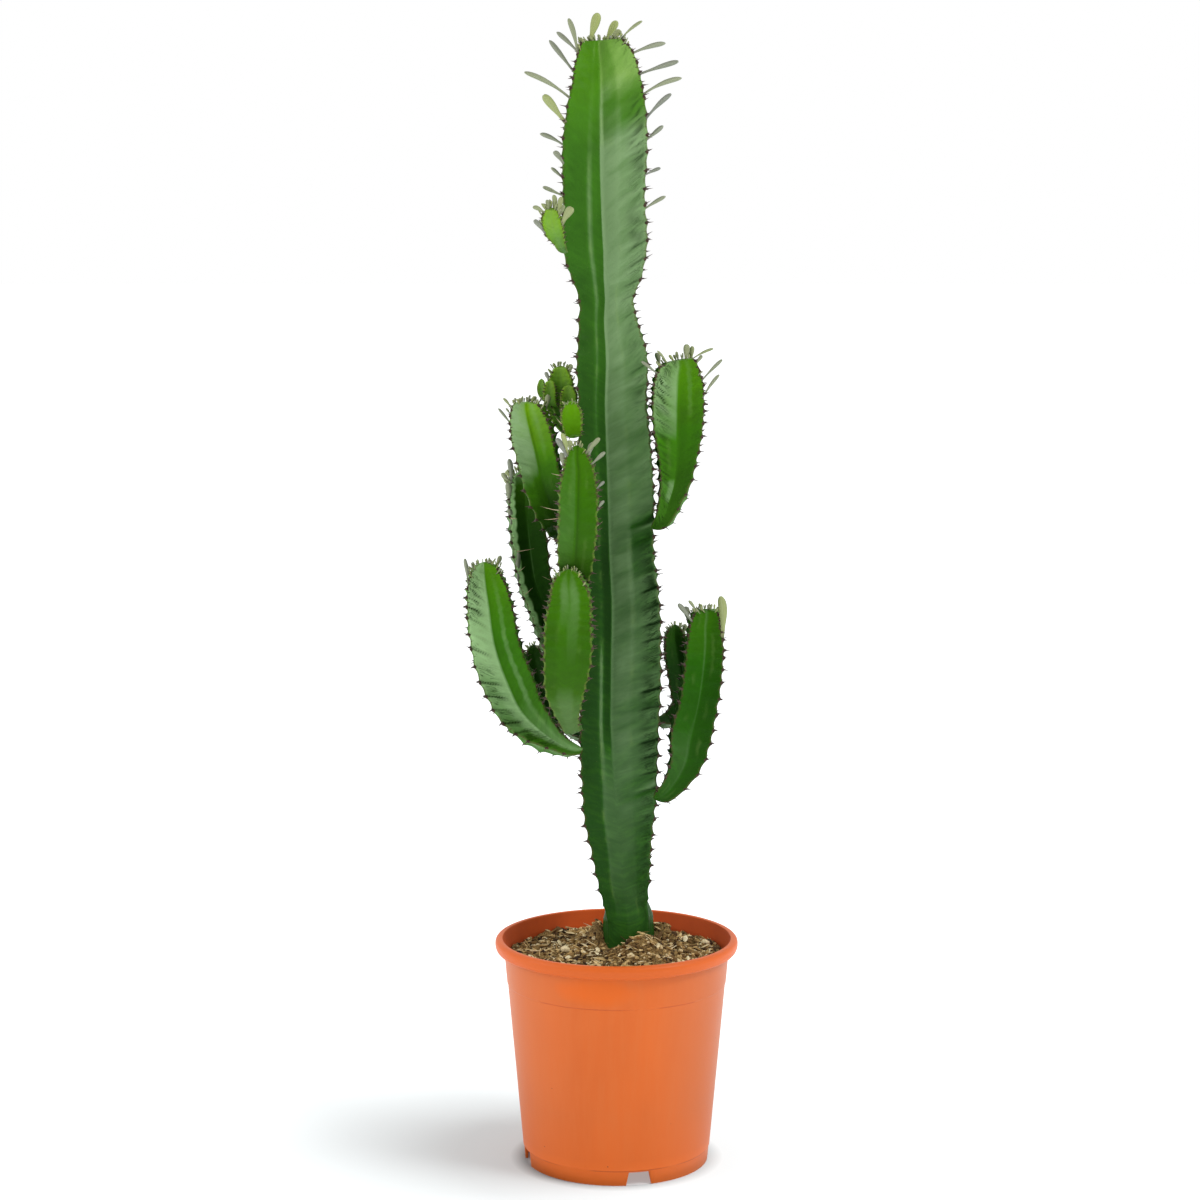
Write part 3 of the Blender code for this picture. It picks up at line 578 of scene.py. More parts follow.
def smooth_line(stations, step):
    """Rows at an even spacing along a smooth curve through the stations: each span is a cubic
    that leaves and meets its stations with the slopes of their neighbours. Position and radius
    run smoothly, the other columns straight."""
    gaps = np.linalg.norm(np.diff(stations[:, :3], axis=0), axis=1)
    at = np.concatenate([[0.0], np.cumsum(gaps)])
    slopes = np.gradient(stations, at, axis=0)
    t = np.linspace(0.0, 1.0, 48, endpoint=False)[None, :, None]
    h = gaps[:, None, None]
    fine = (stations[:-1, None] * (2 * t**3 - 3 * t**2 + 1) + slopes[:-1, None] * h * (t**3 - 2 * t**2 + t)
            + stations[1:, None] * (3 * t**2 - 2 * t**3) + slopes[1:, None] * h * (t**3 - t**2))
    fine = np.concatenate([fine.reshape(-1, stations.shape[1]), stations[-1:]])
    places = np.append((at[:-1, None] + gaps[:, None] * t[0, :, 0]).reshape(-1), at[-1])
    for column in range(4, fine.shape[1]):
        fine[:, column] = np.interp(places, at, stations[:, column])
    run = np.concatenate([[0.0], np.cumsum(np.linalg.norm(np.diff(fine[:, :3], axis=0), axis=1))])
    even = np.linspace(0.0, run[-1], int(round(run[-1] / step)) + 1)
    return np.stack([np.interp(even, run, column) for column in fine.T], axis=1), even


class Stem:
    """A ribbed stem: rows along a smooth line, each with the directions of its four crests.

    A station is x, y, z, crest radius and the angle of rib 0, and on the trunk the four columns
    that its table adds. Hollow is how far from the axis the knees, or the valleys of a stem
    without knees, lie as a share of the crest radius. Split is where the bloom, painted sheen and
    painted shade of a flank without a knee change, as a share of its width.
    """

    def __init__(self, stations, seed, pitch, step, hollow, faces=None, split=0.55):
        self.split = split
        self.hollow = hollow
        self.faces = faces or {}
        self.seed = seed
        self.pitch = pitch
        stations = np.array(stations, float)
        stations = np.pad(stations, ((0, 0), (0, 9 - stations.shape[1])))
        self.line, self.run = smooth_line(stations, step)
        self.down = self.run[-1] - self.run
        self.tangents = np.gradient(self.line[:, :3], axis=0)
        self.tangents /= np.linalg.norm(self.tangents, axis=1)[:, None]
        fronts = np.zeros_like(self.tangents)
        front = np.array([0.0, -1.0, 0.0])
        for k in reversed(range(len(fronts))):
            front = front - self.tangents[k] * front.dot(self.tangents[k])
            front = front / np.linalg.norm(front)
            fronts[k] = front
        rights = np.cross(self.tangents, fronts)
        angles = np.radians(self.line[:, 4, None] - 90.0 * np.arange(4))
        self.outs = fronts[:, None] * np.cos(angles)[..., None] + rights[:, None] * np.sin(angles)[..., None]
        radius, roundness = self.line[:, 3], self.line[:, 6]
        size = np.clip((radius - 5.0) / 18.0, 0.0, 1.0) * (1.0 - roundness)
        self.tooth_height = 3.0 * size
        self.teeth = [self.tooth_places(rib) for rib in range(4)]
        self.creasing = np.ones(len(self.line))
        self.light_shade_streaks = []
        self.dome = 0.0

    def tooth_places(self, rib):
        """Distances of a rib's teeth below the top: half a pitch apart from rib to rib, crowded
        towards the growing tip and each shifted a little."""
        shift = np.random.default_rng(self.seed * 10 + rib)
        places = [1.5 + 1.2 * (rib % 2)]
        while places[-1] < self.run[-1]:
            grown = np.clip(places[-1] / 55.0, 0.0, 1.0)
            places.append(places[-1] + self.pitch * (0.36 + 0.64 * grown) * shift.uniform(0.9, 1.1))
        places = np.array(places)
        full = places > 40.0
        places[full] += (rib % 2) * self.pitch * 0.5 - 0.25 * self.pitch
        return places

    def tooth_phase(self, rib, down):
        """Signed distance to the nearest tooth and the local spacing, both in millimetres."""
        places = self.teeth[rib]
        after = np.clip(np.searchsorted(places, down), 1, len(places) - 1)
        above, below = places[after - 1], places[after]
        nearer = np.where(down - above < below - down, above, below)
        return nearer - down, below - above

    def reach(self, rib):
        """Crest radius of every row: full at a tooth, scooped out between teeth."""
        offset, spacing = self.tooth_phase(rib, self.down)
        share = np.where(offset > 0, 0.24, 0.17) * spacing
        scoop = 1.0 - np.exp(-(np.abs(offset) / share) ** 1.25)
        wander = soft_noise(self.seed * 31 + rib, self.run / 9.0) - 0.5
        return self.line[:, 3] - self.tooth_height * scoop + 0.7 * wander * (self.tooth_height > 0.4)

    def crest_point(self, rib, down):
        """Crest position, the directions outward, along and sideways, and the row, at distances
        below the top."""
        row = np.clip(np.searchsorted(-self.down, -np.asarray(down)), 0, len(self.line) - 1)
        out = self.outs[row, rib]
        reach = self.reach(rib)[row]
        along = self.tangents[row]
        return self.line[row, :3] + out * reach[..., None], out, along, np.cross(out, along), row

    def bloom_sheen_shade(self, rib, side, x, length, valley, split):
        """How pale (above 0) or dark (below 0) a flank is: pale for waxy bloom and painted sheen, dark for
        painted shade. One value between the knee and the valley and one on the rib, a painted highlight
        stripe on the knee, a thread of painted light and shade in the valley, and streaks of painted
        shade and highlight that run in from the crest where an arm is rooted and fade out."""
        rows, _, _, lean = self.faces.get((rib, side), PLAIN_FACE)
        downs, inner, outer, stripe, thread = np.array(rows, float).T
        down = (self.down[:, None] - lean * x).clip(0.0)
        inner, outer, stripe, thread = (
            np.interp(down, downs, tones) for tones in (inner, outer, stripe, thread))
        blend = np.clip((x / length - split + 0.09) / 0.18, 0.0, 1.0)
        near_knee = np.exp(-(((x - split * length) / 2.2) ** 2))
        bloom_sheen_shade = outer + (inner - outer) * blend + stripe * near_knee + thread * np.exp(-((valley / 1.5) ** 2))
        for streak_rib, streak_side, place, reach, width, strength in self.light_shade_streaks:
            if (streak_rib, streak_side) == (rib, side):
                off = (self.down[:, None] - place - 0.5 * x) / width
                bloom_sheen_shade = bloom_sheen_shade + strength * np.exp(-(off**2)) * np.clip(1.0 - x / reach, 0.0, 1.0)
        return bloom_sheen_shade

    def surface(self, half_columns, crease):
        """The flesh as a grid of rows and columns.

        Each quarter runs down one rib's flank to the bottom of the valley and up the next rib's
        flank. Half thickness over distance x from the crest: a round edge, plus a share that
        grows as x to the power 1.2 up to the knee, a straight facet from there to the valley's
        line, plus relief. The relief swells below each tooth, and has folds that rise outward,
        a pleat above each tooth and a low ridge along the knee.

        Ten numbers go with each point: the distances from the crest, to the nearest tooth, below
        the tip and to the valley, the fold, the place across the slanting folds, the flank's bloom,
        painted sheen and painted shade, the knee, the stem's radius and how much the flank is creased.
        """
        line = self.line
        radius, knee_half, roundness, shift, dip = (line[:, k, None] for k in (3, 5, 6, 7, 8))
        neck = np.clip((15.0 - radius) / 8.0, 0.0, 1.0)
        depth = radius * (self.hollow + (0.7 - self.hollow) * neck)
        sink = depth - dip * radius
        t = (np.arange(half_columns + 1) / half_columns)[None, :] ** 1.4
        edge = np.minimum(1.25, 0.16 * radius)
        split = 1.0 if knee_half.max() > 0.0 else self.split
        thick = np.clip(radius / 30.0, 0.2, 1.0) * (1 - roundness)
        steep = np.interp(self.down, [0.0, 150.0, 420.0], [0.75, 0.7, 0.42])[:, None]
        flanks = []
        marks = []
        for rib in range(4):
            reach = self.reach(rib)[:, None]
            for side in range(2):
                aside = shift if side == 0 else -shift
                half = (knee_half - 0.35 * aside).clip(0.0)
                corner_r = (depth + half) / math.sqrt(2)
                corner_w = ((depth - half) / math.sqrt(2)).clip(0.5)
                length = np.hypot(reach - corner_r, corner_w)
                facet = np.where(knee_half > 0.0, np.hypot(half + aside, depth - sink), 0.0)
                whole = length + facet
                x = t * whole
                on_flank = np.clip(x / length, 0.0, 1.0)
                on_facet = np.clip((x - length) / facet.clip(0.2), 0.0, 1.0)
                r = reach + (corner_r - reach) * on_flank
                lip = edge * np.sqrt(1.0 - (1.0 - np.clip(x / edge, 0.0, 1.0)) ** 2)
                w = lip * (1.0 - on_flank) + corner_w * on_flank**1.2
                r = r + ((sink - aside) / math.sqrt(2) - corner_r) * on_facet
                w = w + ((sink + aside) / math.sqrt(2) - corner_w) * on_facet
                tag = self.seed * 100 + rib * 10 + side
                _, folding, pleating, _ = self.faces.get((rib, side), PLAIN_FACE)
                slant = self.run[:, None] + steep * x
                offset, spacing = self.tooth_phase(rib, self.down[:, None] - steep * x)
                window = np.clip(x / 4.0, 0, 1) * np.clip((0.85 * length - x) / (0.5 * length), 0, 1)
                swell = 0.55 * folding * np.cos(2 * math.pi * offset / spacing) * window
                zone = np.clip(2.2 * soft_noise(tag + 3, self.run[:, None] / 42.0, x / 30.0) - 0.5, 0, 1)
                fold = soft_noise(tag, slant / 3.4, x / 26.0)
                fold = np.clip(1.0 - np.abs(2 * fold - 1.0) / 0.45, 0, 1) * zone * window * crease * folding
                often = np.clip(3.0 * soft_noise(tag + 9, slant / (1.1 * self.pitch)) - 0.9, 0, 1)
                near_crest = np.clip(x / 1.5, 0, 1) * np.clip((0.8 * length - x) / (0.35 * length), 0, 1)
                pleat = np.exp(-(((offset - 0.13 * spacing) / (0.085 * spacing)) ** 2))
                pleat = pleat * often * near_crest * pleating * self.creasing[:, None]
                roll = soft_noise(tag + 5, self.run[:, None] / 30.0, x / 11.0) - 0.5
                ripple = soft_noise(tag + 7, slant / 6.5, x / 34.0) - 0.5
                ripple = ripple * folding * np.clip(x / 5.0, 0, 1) * np.clip((whole - x) / 8.0, 0, 1)
                knee = np.exp(-(((x - split * length) / (0.04 * length + 0.4)) ** 2))
                relief = swell - 1.1 * fold - 1.3 * pleat + 1.2 * roll * window + 0.5 * knee + 1.1 * ripple
                w = w + relief * thick * (1 - on_facet)
                path = np.stack([r, w], axis=-1)
                for _ in range(2):
                    path[:, 3:-1] = (path[:, 2:-2] + 2 * path[:, 3:-1] + path[:, 4:]) / 4
                flanks.append(path)
                valley = whole - x
                bloom_sheen_shade = self.bloom_sheen_shade(rib, side, x, length, valley, split)
                # The ripples are painted too: paler where they rise and darker where they sink, painted light and
                # shade.
                bloom_sheen_shade = bloom_sheen_shade + 0.6 * ripple * thick * np.clip(0.35 + bloom_sheen_shade, 0.0, 1.0)
                marks.append(np.stack(np.broadcast_arrays(
                    x + 14.0 * roundness, self.tooth_phase(rib, self.down)[0][:, None], self.down[:, None],
                    valley, (fold + 1.3 * pleat) * thick, slant, bloom_sheen_shade, knee * thick, radius,
                    pleating * self.creasing[:, None]), axis=-1))
        position = line[:, None, :3]
        columns = []
        fields = []
        for rib in range(4):
            here, ahead = self.outs[:, rib, None], self.outs[:, (rib + 1) % 4, None]
            first, second = flanks[2 * rib], flanks[2 * ((rib + 1) % 4) + 1]
            down_flank = position + here * first[..., :1] + ahead * first[..., 1:]
            up_flank = position + ahead * second[..., :1] + here * second[..., 1:]
            columns += [down_flank, up_flank[:, -2:0:-1]]
            fields += [marks[2 * rib], marks[2 * ((rib + 1) % 4) + 1][:, -2:0:-1]]
        points = np.concatenate(columns, axis=1)
        fields = np.concatenate(fields, axis=1)
        away = points - position
        size = np.linalg.norm(away, axis=-1, keepdims=True)
        circle = away / size * radius[:, None]
        points = position + away + (circle - away) * roundness[:, None]
        return points, fields

    def closed(self, half_columns, crease, dome):
        """The surface with a low peaked tip: rings that shrink as a cosine and rise by its
        complement to the power 0.85."""
        self.dome = dome
        points, fields = self.surface(half_columns, crease)
        turns = np.linspace(0.0, math.pi / 2, 9)[1:]
        turns[-1] = math.pi / 2 - 0.12
        middle = self.line[-1, :3]
        cap = middle + (points[-1] - middle) * np.cos(turns)[:, None, None]
        cap = cap + self.tangents[-1] * ((1.0 - np.cos(turns)) ** 0.85 * dome)[:, None, None]
        points = np.concatenate([points, cap])
        fields = np.concatenate([fields, np.repeat(fields[-1:], len(turns), axis=0)])
        return points, tube_faces(*points.shape[:2]), fields


def skin_fields(fields):
    """The attributes that the skin's material reads, from the ten numbers beside each point."""
    return {"skin": fields[..., :3], "mark": fields[..., 3:6], "face": fields[..., 6:9],
            "wear": fields[..., 9:]}


def dimmed(colour, share):
    """A colour multiplied by a share, which may be above 1."""
    return tuple(min(1.0, part * share) for part in colour)


def flesh_finish(name, young, grown, old, reach, horn_share=1.0, bloom_sheen_share=1.0, tip_bloom_sheen=None):
    """Waxy green skin. It goes from young to grown to old over the two reaches below the tip. It is
    paler by the flank's waxy bloom and painted sheen and darker by its painted shade, has painted
    shade in its folds and creases and a painted highlight along the knee, faint slanting streaks,
    and brown horn on the crest and the teeth. Bloom_sheen_share is how pale the pale flanks are,
    tip_bloom_sheen their colour near the tip."""
    material, shader, at = new_finish(name, ior=1.45, specular_ior_level=0.06)
    crest, tooth, down = at.field("skin")
    valley, fold, slant = at.field("mark")
    bloom_sheen_shade, knee, girth = at.field("face")
    creased = at.field("wear")[0]
    blotch = at.noise(0.035, 3.0, 0.55)
    fine = at.noise(0.7, 3.0, 0.6)
    streak = at.node("ShaderNodeCombineXYZ", None, {0: slant * 0.22, 1: crest * 0.05, 2: valley * 0.02})
    streak = streak.noise(1.0, 3.0, 0.6)
    age = down + (blotch - 0.5) * 60.0
    colour = age.ramp(0.0, reach[0]).mix(young, grown)
    colour = age.ramp(reach[0], reach[1]).mix(colour, old)
    colour = (streak.ramp(0.45, 0.75) * 0.35).mix(colour, dimmed(grown, 1.45))
    colour = (blotch.ramp(0.55, 0.3) * 0.35).mix(colour, dimmed(old, 0.62))
    # The pale colour stands for waxy bloom and painted sheen.
    near, far = dimmed((0.235, 0.375, 0.170), bloom_sheen_share), dimmed((0.095, 0.178, 0.078), bloom_sheen_share)
    pale = age.ramp(reach[0], reach[1] * 2.2).mix(near, far)
    if tip_bloom_sheen:
        pale = age.ramp(reach[0] * 0.3, reach[0] * 0.85).mix(tip_bloom_sheen, pale)
    colour = (bloom_sheen_shade + (streak - 0.5) * 0.8 * bloom_sheen_shade).clamped().mix(colour, pale)
    # Painted shade where the flank's value is below 0.
    dark = (bloom_sheen_shade * -1.0 + (streak - 0.5) * 0.3).clamped() * bloom_sheen_shade.ramp(0.0, -0.1)
    colour = dark.mix(colour, dimmed(old, 0.3))
    # Painted highlight along the knee.
    colour = (knee * at.noise(0.05).ramp(0.5, 0.66) * 0.2).clamped().mix(colour, (0.24, 0.38, 0.10))
    # Painted shade in the folds and pleats.
    colour = (fold * 0.8).clamped().mix(colour, dimmed(old, 0.3))
    # The finest creases: a bump groove with painted shade in it as thin dark lines.
    across = at.node("ShaderNodeCombineXYZ", None, {0: slant * 0.5, 1: crest * 0.05, 2: valley * 0.04})
    line = abs(across.noise(1.0, 2.0, 0.5) - 0.5).ramp(0.045, 0.012)
    line = line * crest.ramp(0.8, 2.5) * crest.ramp(19.0, 7.0)
    line = line * (creased * at.noise(0.045, 2.0).ramp(0.38, 0.55)).clamped()
    colour = (line * 0.75).mix(colour, dimmed(old, 0.32))
    colour = (at.spots(0.35, 0.10) * at.noise(0.05).ramp(0.45, 0.6) * 0.25).mix(colour, (0.28, 0.38, 0.10))
    edge = (crest + (fine - 0.5) * 0.8).ramp(0.9, 0.3)
    beside = abs(tooth)
    size = girth.ramp(4.0, 26.0) * 1.5 + 0.8
    shield = ((beside + crest * 0.9 + (fine - 0.5) * 1.4) / size).ramp(1.0, 0.65)
    horn = fine.ramp(0.35, 0.65).mix((0.030, 0.020, 0.013), (0.10, 0.065, 0.040))
    colour = (edge * at.noise(0.2).ramp(0.35, 0.55) * 0.55 * horn_share).mix(colour, (0.085, 0.085, 0.025))
    tipped = edge * (1.0 - horn_share) * (beside / size).ramp(2.6, 0.8)
    colour = (tipped * 0.4).mix(colour, (0.36, 0.42, 0.10))
    colour = (shield * (0.25 + 0.75 * horn_share)).mix(colour, horn)
    rough = 0.36 + fine * 0.10 + blotch * 0.06 + shield * 0.25
    apply_paint(shader, colour, rough, streak * 0.7 + fine * 0.3 - line * 0.8, 0.35)
    return material


def thorns(bases, ways, lengths, radius, bend):
    """Tapering spikes: 5-sided rings whose radius falls to a point and whose middle bows
    sideways by the bend."""
    count = len(bases)
    t = SPINE_RINGS
    girth = np.array([1.0, 0.7, 0.34, 0.06]) * radius
    first = np.cross(ways, bend)
    first /= np.linalg.norm(first, axis=1)[:, None]
    second = np.cross(ways, first)
    turns = np.linspace(0, 2 * math.pi, 5, endpoint=False)
    rings = (first[:, None, None] * np.cos(turns)[None, None, :, None]
             + second[:, None, None] * np.sin(turns)[None, None, :, None])
    middle = bases[:, None] + ways[:, None] * (t[None, :, None] * lengths[:, None, None])
    middle = middle + bend[:, None] * (0.12 * lengths[:, None, None] * (t**2)[None, :, None])
    points = middle[:, :, None] + rings * girth[None, :, None, None]
    return points.reshape(-1, 3), repeat_faces(tube_faces(len(t), 5), count, len(t) * 5)


def heading(rise, azimuth):
    """The unit vector that rises by one angle and points along another, in degrees: an azimuth of
    0 is to the front and 90 to the right."""
    level, turned = math.cos(math.radians(rise)), math.radians(azimuth)
    return np.array([math.sin(turned) * level, -math.cos(turned) * level, math.sin(math.radians(rise))])


def merge(parts):
    """One list of points, faces and fields from several."""
    points, faces, tints, start = [], [], [], 0
    for part_points, part_faces, part_tints in parts:
        points.append(part_points)
        faces += [[start + i for i in face] for face in part_faces]
        tints.append(part_tints)
        start += len(part_points)
    return np.concatenate(points), faces, np.concatenate(tints)


def spines_of(stem, length):
    """A dark horny tip on every tooth and a pair of spines spread from it to the two sides, both
    smaller near the tip."""
    chance = np.random.default_rng(stem.seed + 500)
    parts = []
    for rib in range(4):
        places = stem.teeth[rib]
        places = places[places < stem.run[-1] - 6.0]
        crest, out, along, side, row = stem.crest_point(rib, places)
        keep = (stem.line[row, 6] < 0.2) & (stem.line[row, 3] > 6.0)
        crest, out, along, side, row = (a[keep] for a in (crest, out, along, side, row))
        young = np.clip(places[keep] / 30.0, 0.45, 1.0)
        size = np.clip(stem.line[row, 3] / 28.0, 0.4, 1.0)
        ways = out + along * chance.normal(0.0, 0.15, len(crest))[:, None]
        points, faces = thorns(crest - out * 1.6, ways, 4.5 * young * size, 1.4, along * 0.5)
        parts.append((points, faces, np.zeros(len(points))))
        for turn in (-1.0, 1.0):
            spread = turn * chance.uniform(0.45, 0.8, len(crest))[:, None]
            rise = chance.normal(0.05, 0.22, len(crest))[:, None]
            ways = out + side * spread + along * rise
            ways /= np.linalg.norm(ways, axis=1)[:, None]
            sizes = length * young * chance.uniform(0.6, 1.15, len(crest))
            points, faces = thorns(crest - out * 0.9, ways, sizes + 0.9, 0.62, along)
            tint = np.tile(np.repeat(SPINE_RINGS, 5), len(crest))
            parts.append((points, faces, tint))
    return merge(parts)


spine_finish, spine_shader, at = new_finish("dark_horn", roughness=0.5)
along = at.field("spike")[0]
colour = along.ramp(0.3, 1.0).mix((0.030, 0.015, 0.016), (0.10, 0.05, 0.040))
apply_paint(spine_shader, (at.noise(0.6) * 0.5).mix(colour, (0.16, 0.09, 0.06)), 0.4 + at.noise(1.0) * 0.3)

# For a flank, its rib and side: rows of the distance below the tip, the tone between the knee and
# the valley and the tone on the rib (waxy bloom and painted sheen above 0, painted shade below 0),
# the stripe of painted highlight on the knee and the thread of painted light and shade in the
# valley; then how much it folds, how much it is pleated at the teeth and how steeply its tones fall
# from the crest.
PLAIN_FACE = ([(0, 0.1, 0.1, 0.15, 0.2)], 0.8, 0.3, 0)
TRUNK_SIDE = ([(0, 0.1, 0.1, 0.1, 0.1), (600, 0, 0, 0, 0), (720, -0.3, -0.3, 0, 0)], 0.8, 0.3, 0)
TRUNK_FACES = {
    (0, 0): ([
        (0, 0.3, 0.5, 0, 0.2), (12, 0.4, 0.8, 0, 0.3), (24, 0.4, 0.9, 0.1, 0.5), (33, 0.15, 0.4, 0.1, 0.7),
        (38, 0.15, 0.12, 0.1, 0.9), (52, 0.2, 0.05, 0.2, 0.9), (58, 0.4, 0.3, 0.2, 1),
        (68, 0.85, 0.8, 0.2, 1), (110, 1, 0.8, 0.1, 1), (190, 0.95, 0.8, 0.1, 0.9),
        (240, 0.8, 0.6, 0.1, 0.5), (300, 0.65, 0.5, 0, 0.2), (380, 0.6, 0.42, 0, 0),
        (400, 0.6, 0.1, 0.2, 0), (425, 0.6, 0.1, 0.4, 0), (450, 0.6, 0.45, 0.3, 0),
        (490, 0.6, 0.42, 0.2, 0), (520, 0.5, 0.3, 0, 0), (580, 0.4, 0.3, 0, 0), (630, 0.3, 0.2, 0, 0),
        (700, 0.2, 0.1, 0, 0), (750, 0, 0, 0, 0)], 0.9, 1, 0.55),
    (1, 1): ([
        (0, 0, 0, 0, 0.3), (90, 0, -0.05, 0.1, 0.5), (125, -0.05, -0.1, 0.5, 0.5),
        (190, -0.1, -0.15, 0.5, 0.5), (230, -0.2, -0.2, 0.4, 0.5), (290, -0.25, -0.28, 0.4, 0),
        (400, -0.45, -0.4, 0.3, 0), (432, -0.75, -0.45, 0.2, 0), (495, -0.75, -0.4, 0.35, 0),
        (515, -0.65, -0.4, 1.1, 0), (575, -0.5, -0.4, 1.1, 0), (600, 0.1, -0.35, 0.5, 0),
        (630, 0.3, -0.35, 0.2, 0), (700, 0.25, -0.25, 0.1, 0), (745, 0, 0, 0, 0)], 0.3, 0.15, 0),
    (0, 1): TRUNK_SIDE,
    (1, 0): TRUNK_SIDE,
}
# The teeth are lower on the young top than on the old part, and the creases are strongest in the
# lower half. Streaks of painted shade and highlight where an arm is rooted: rib, side, distance
# below the tip, length, half width and tone.
stations = [(x, 0, z, radius, 45, *rest) for x, z, radius, *rest in TRUNK]
trunk = Stem(stations, 1, TOOTH_PITCH, ROW_STEP, TRUNK_HOLLOW, TRUNK_FACES)
trunk.tooth_height = trunk.tooth_height * (0.75 + 0.45 * np.clip((trunk.down - 200.0) / 120.0, 0, 1))
trunk.creasing = np.interp(
    trunk.down, [30, 120, 300, 440, 460, 610, 640], [0.0, 0.45, 0.3, 0.4, 1.5, 1.5, 0.5])
trunk.light_shade_streaks = [
    (0, 0, 394, 25, 1.6, -1.4), (0, 0, 399, 23, 2.2, 0.6),
    (0, 0, 620, 24, 2.2, 0.6), (0, 0, 625, 20, 1.5, -0.6)]
trunk_skin = flesh_finish(
    "trunk_skin", (0.085, 0.27, 0.004), (0.045, 0.16, 0.010), (0.018, 0.078, 0.009), (90.0, 420.0),
    tip_bloom_sheen=(0.25, 0.44, 0.10))
points, faces, fields = trunk.closed(half_columns=22, crease=1.0, dome=1.2)
trunk_piece = make_piece("trunk_flesh", points, faces, trunk_skin, fields=skin_fields(fields))
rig.replaces(trunk_piece, "trunk")
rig.slot(trunk_piece, "trunk_green")
points, faces, tints = spines_of(trunk, length=5.2)
make_piece("trunk_spines", points, faces, spine_finish, fields={"spike": tints})


# Arms.
# Eleven younger side stems and one tiny offshoot, grown from the trunk's ribs: each narrows to a
# short neck, sweeps out and turns upright. Same flesh as the trunk, brighter where it is new.

# Trunk rib, root height, angle of rib 0, tooth spacing, crease depth, hollow, split, dome of the
# tip, then stations x, y, z, crest radius.
ARMS = {
    "A": (1, 366, 48, 13, 1.3, 0.42, 0.55, 5, [
        (-38, -38, 367, 7.5), (-50, -34, 372, 13.2), (-63.8, -26, 380.5, 22.3), (-78.9, -18, 395, 29),
        (-91.5, -13, 420, 32.3), (-103, -12, 453, 31), (-108, -12, 487, 29), (-111, -12, 508, 23.5),
        (-112, -12, 519, 16)]),
    "B": (1, 384, 45, 10.5, 0.15, 0.62, 0.55, 4.4, [
        (-37, -41, 388, 9), (-40, -50, 398, 12), (-42, -59, 412, 18), (-43, -68, 430, 25),
        (-41, -75, 453, 29), (-40, -77, 483, 28.6), (-39, -77, 500, 26.2), (-40, -77, 513, 21.5),
        (-40, -77, 521, 14)]),
    "C": (1, 486, 45, 10, 0.15, 0.55, 0.55, 3.6, [
        (-35, -39, 490, 9), (-37, -43, 501, 12.5), (-36, -47, 515, 17), (-34.5, -56, 530, 21),
        (-33.5, -62, 547, 23.8), (-32.5, -66, 568, 24.4), (-32, -66, 593, 23.5), (-32, -66, 607, 19),
        (-33, -66, 616, 14.5), (-33, -66, 623, 9)]),
    "D": (2, 532, 42, 12, 0.4, 0.42, 0.55, 1.2, [
        (-38, 36, 538, 10), (-47, 24, 552, 16.5), (-55, 7, 571, 22.5), (-62, -2, 592, 24.5),
        (-67, -5, 614, 25.5), (-72, -5, 635, 26), (-75, -5, 648, 22.5), (-76, -5, 654, 19),
        (-76, -5, 657.5, 14.5)]),
    "E": (2, 407, 50, 12.5, 0.5, 0.52, 0.34, 3, [
        (-38, 40, 412, 10), (-45, 44, 423, 15), (-52, 49, 444, 20), (-60.5, 53, 470, 21.8),
        (-71.5, 57, 500, 21.8), (-76.2, 58, 531, 23.4), (-79, 58, 561, 22.5), (-81, 58, 582, 20),
        (-83, 58, 592, 13)]),
    "F": (2, 363, 45, 11.5, 0.4, 0.42, 0.55, 3, [
        (-36, 44, 368, 8.5), (-48, 56, 377, 11), (-61, 66, 393, 13.5), (-69, 72, 414, 14.5),
        (-72, 73, 430, 12), (-73, 73, 438, 7)]),
    "G": (2, 632, 45, 9.5, 0.9, 0.5, 0.55, 3, [
        (-39, 36, 637, 10), (-44, 41, 647, 14.5), (-47, 44, 662, 16), (-48, 45, 675, 15),
        (-48, 45, 684, 9)]),
    "H": (1, 632, 45, 8, 0.2, 0.62, 0.55, 3, [
        (-36, -38, 636, 7), (-37, -44, 641, 11), (-38, -46, 649, 13.2), (-38, -46, 655, 11),
        (-38, -46, 658.5, 7)]),
    "I": (0, 554, 45, 12.5, 1, 0.42, 0.55, 1.2, [
        (38, -33, 560.5, 9.5), (44, -28, 575, 14.5), (48.5, -22, 590, 19.5), (50.5, -18, 610, 24.5),
        (50.9, -15, 639, 31), (51, -14, 664, 32.2), (51.6, -14, 682, 28.5), (52.5, -14, 690, 22.5),
        (52, -14, 693.5, 17.5)]),
    "J": (0, 324, 45, 12.5, 0.3, 0.48, 0.55, 1.2, [
        (42, -36, 330, 10.5), (51, -34, 340.5, 15.5), (58.5, -30, 355.5, 21.2), (62, -27, 376, 25.6),
        (68.8, -25, 407, 24.5), (72.3, -24, 432, 24.5), (74.1, -24, 458, 23.5), (74.1, -24, 472, 20),
        (75, -24, 480, 17), (75, -24, 484, 14)]),
    "K": (3, 381, 45, 11, 0.4, 0.42, 0.55, 3, [
        (44, 41, 379, 9), (52, 45, 384, 11.5), (58, 48, 393, 14.5), (58, 49, 406, 17),
        (55.5, 50, 424, 17.6), (52.5, 50, 441, 16.5), (51, 50, 453, 12.5), (51, 50, 459, 7)]),
    "L": (1, 783, 45, 7.5, 0.3, 0.6, 0.55, 3, [
        (-46, -40, 788, 5), (-48.5, -46, 794, 7), (-52.5, -50, 803, 12.2), (-54, -51, 811, 12),
        (-54, -51, 817, 8)]),
}
ROOT_DEPTH = 5.0
ROOT_TIP = 1.2

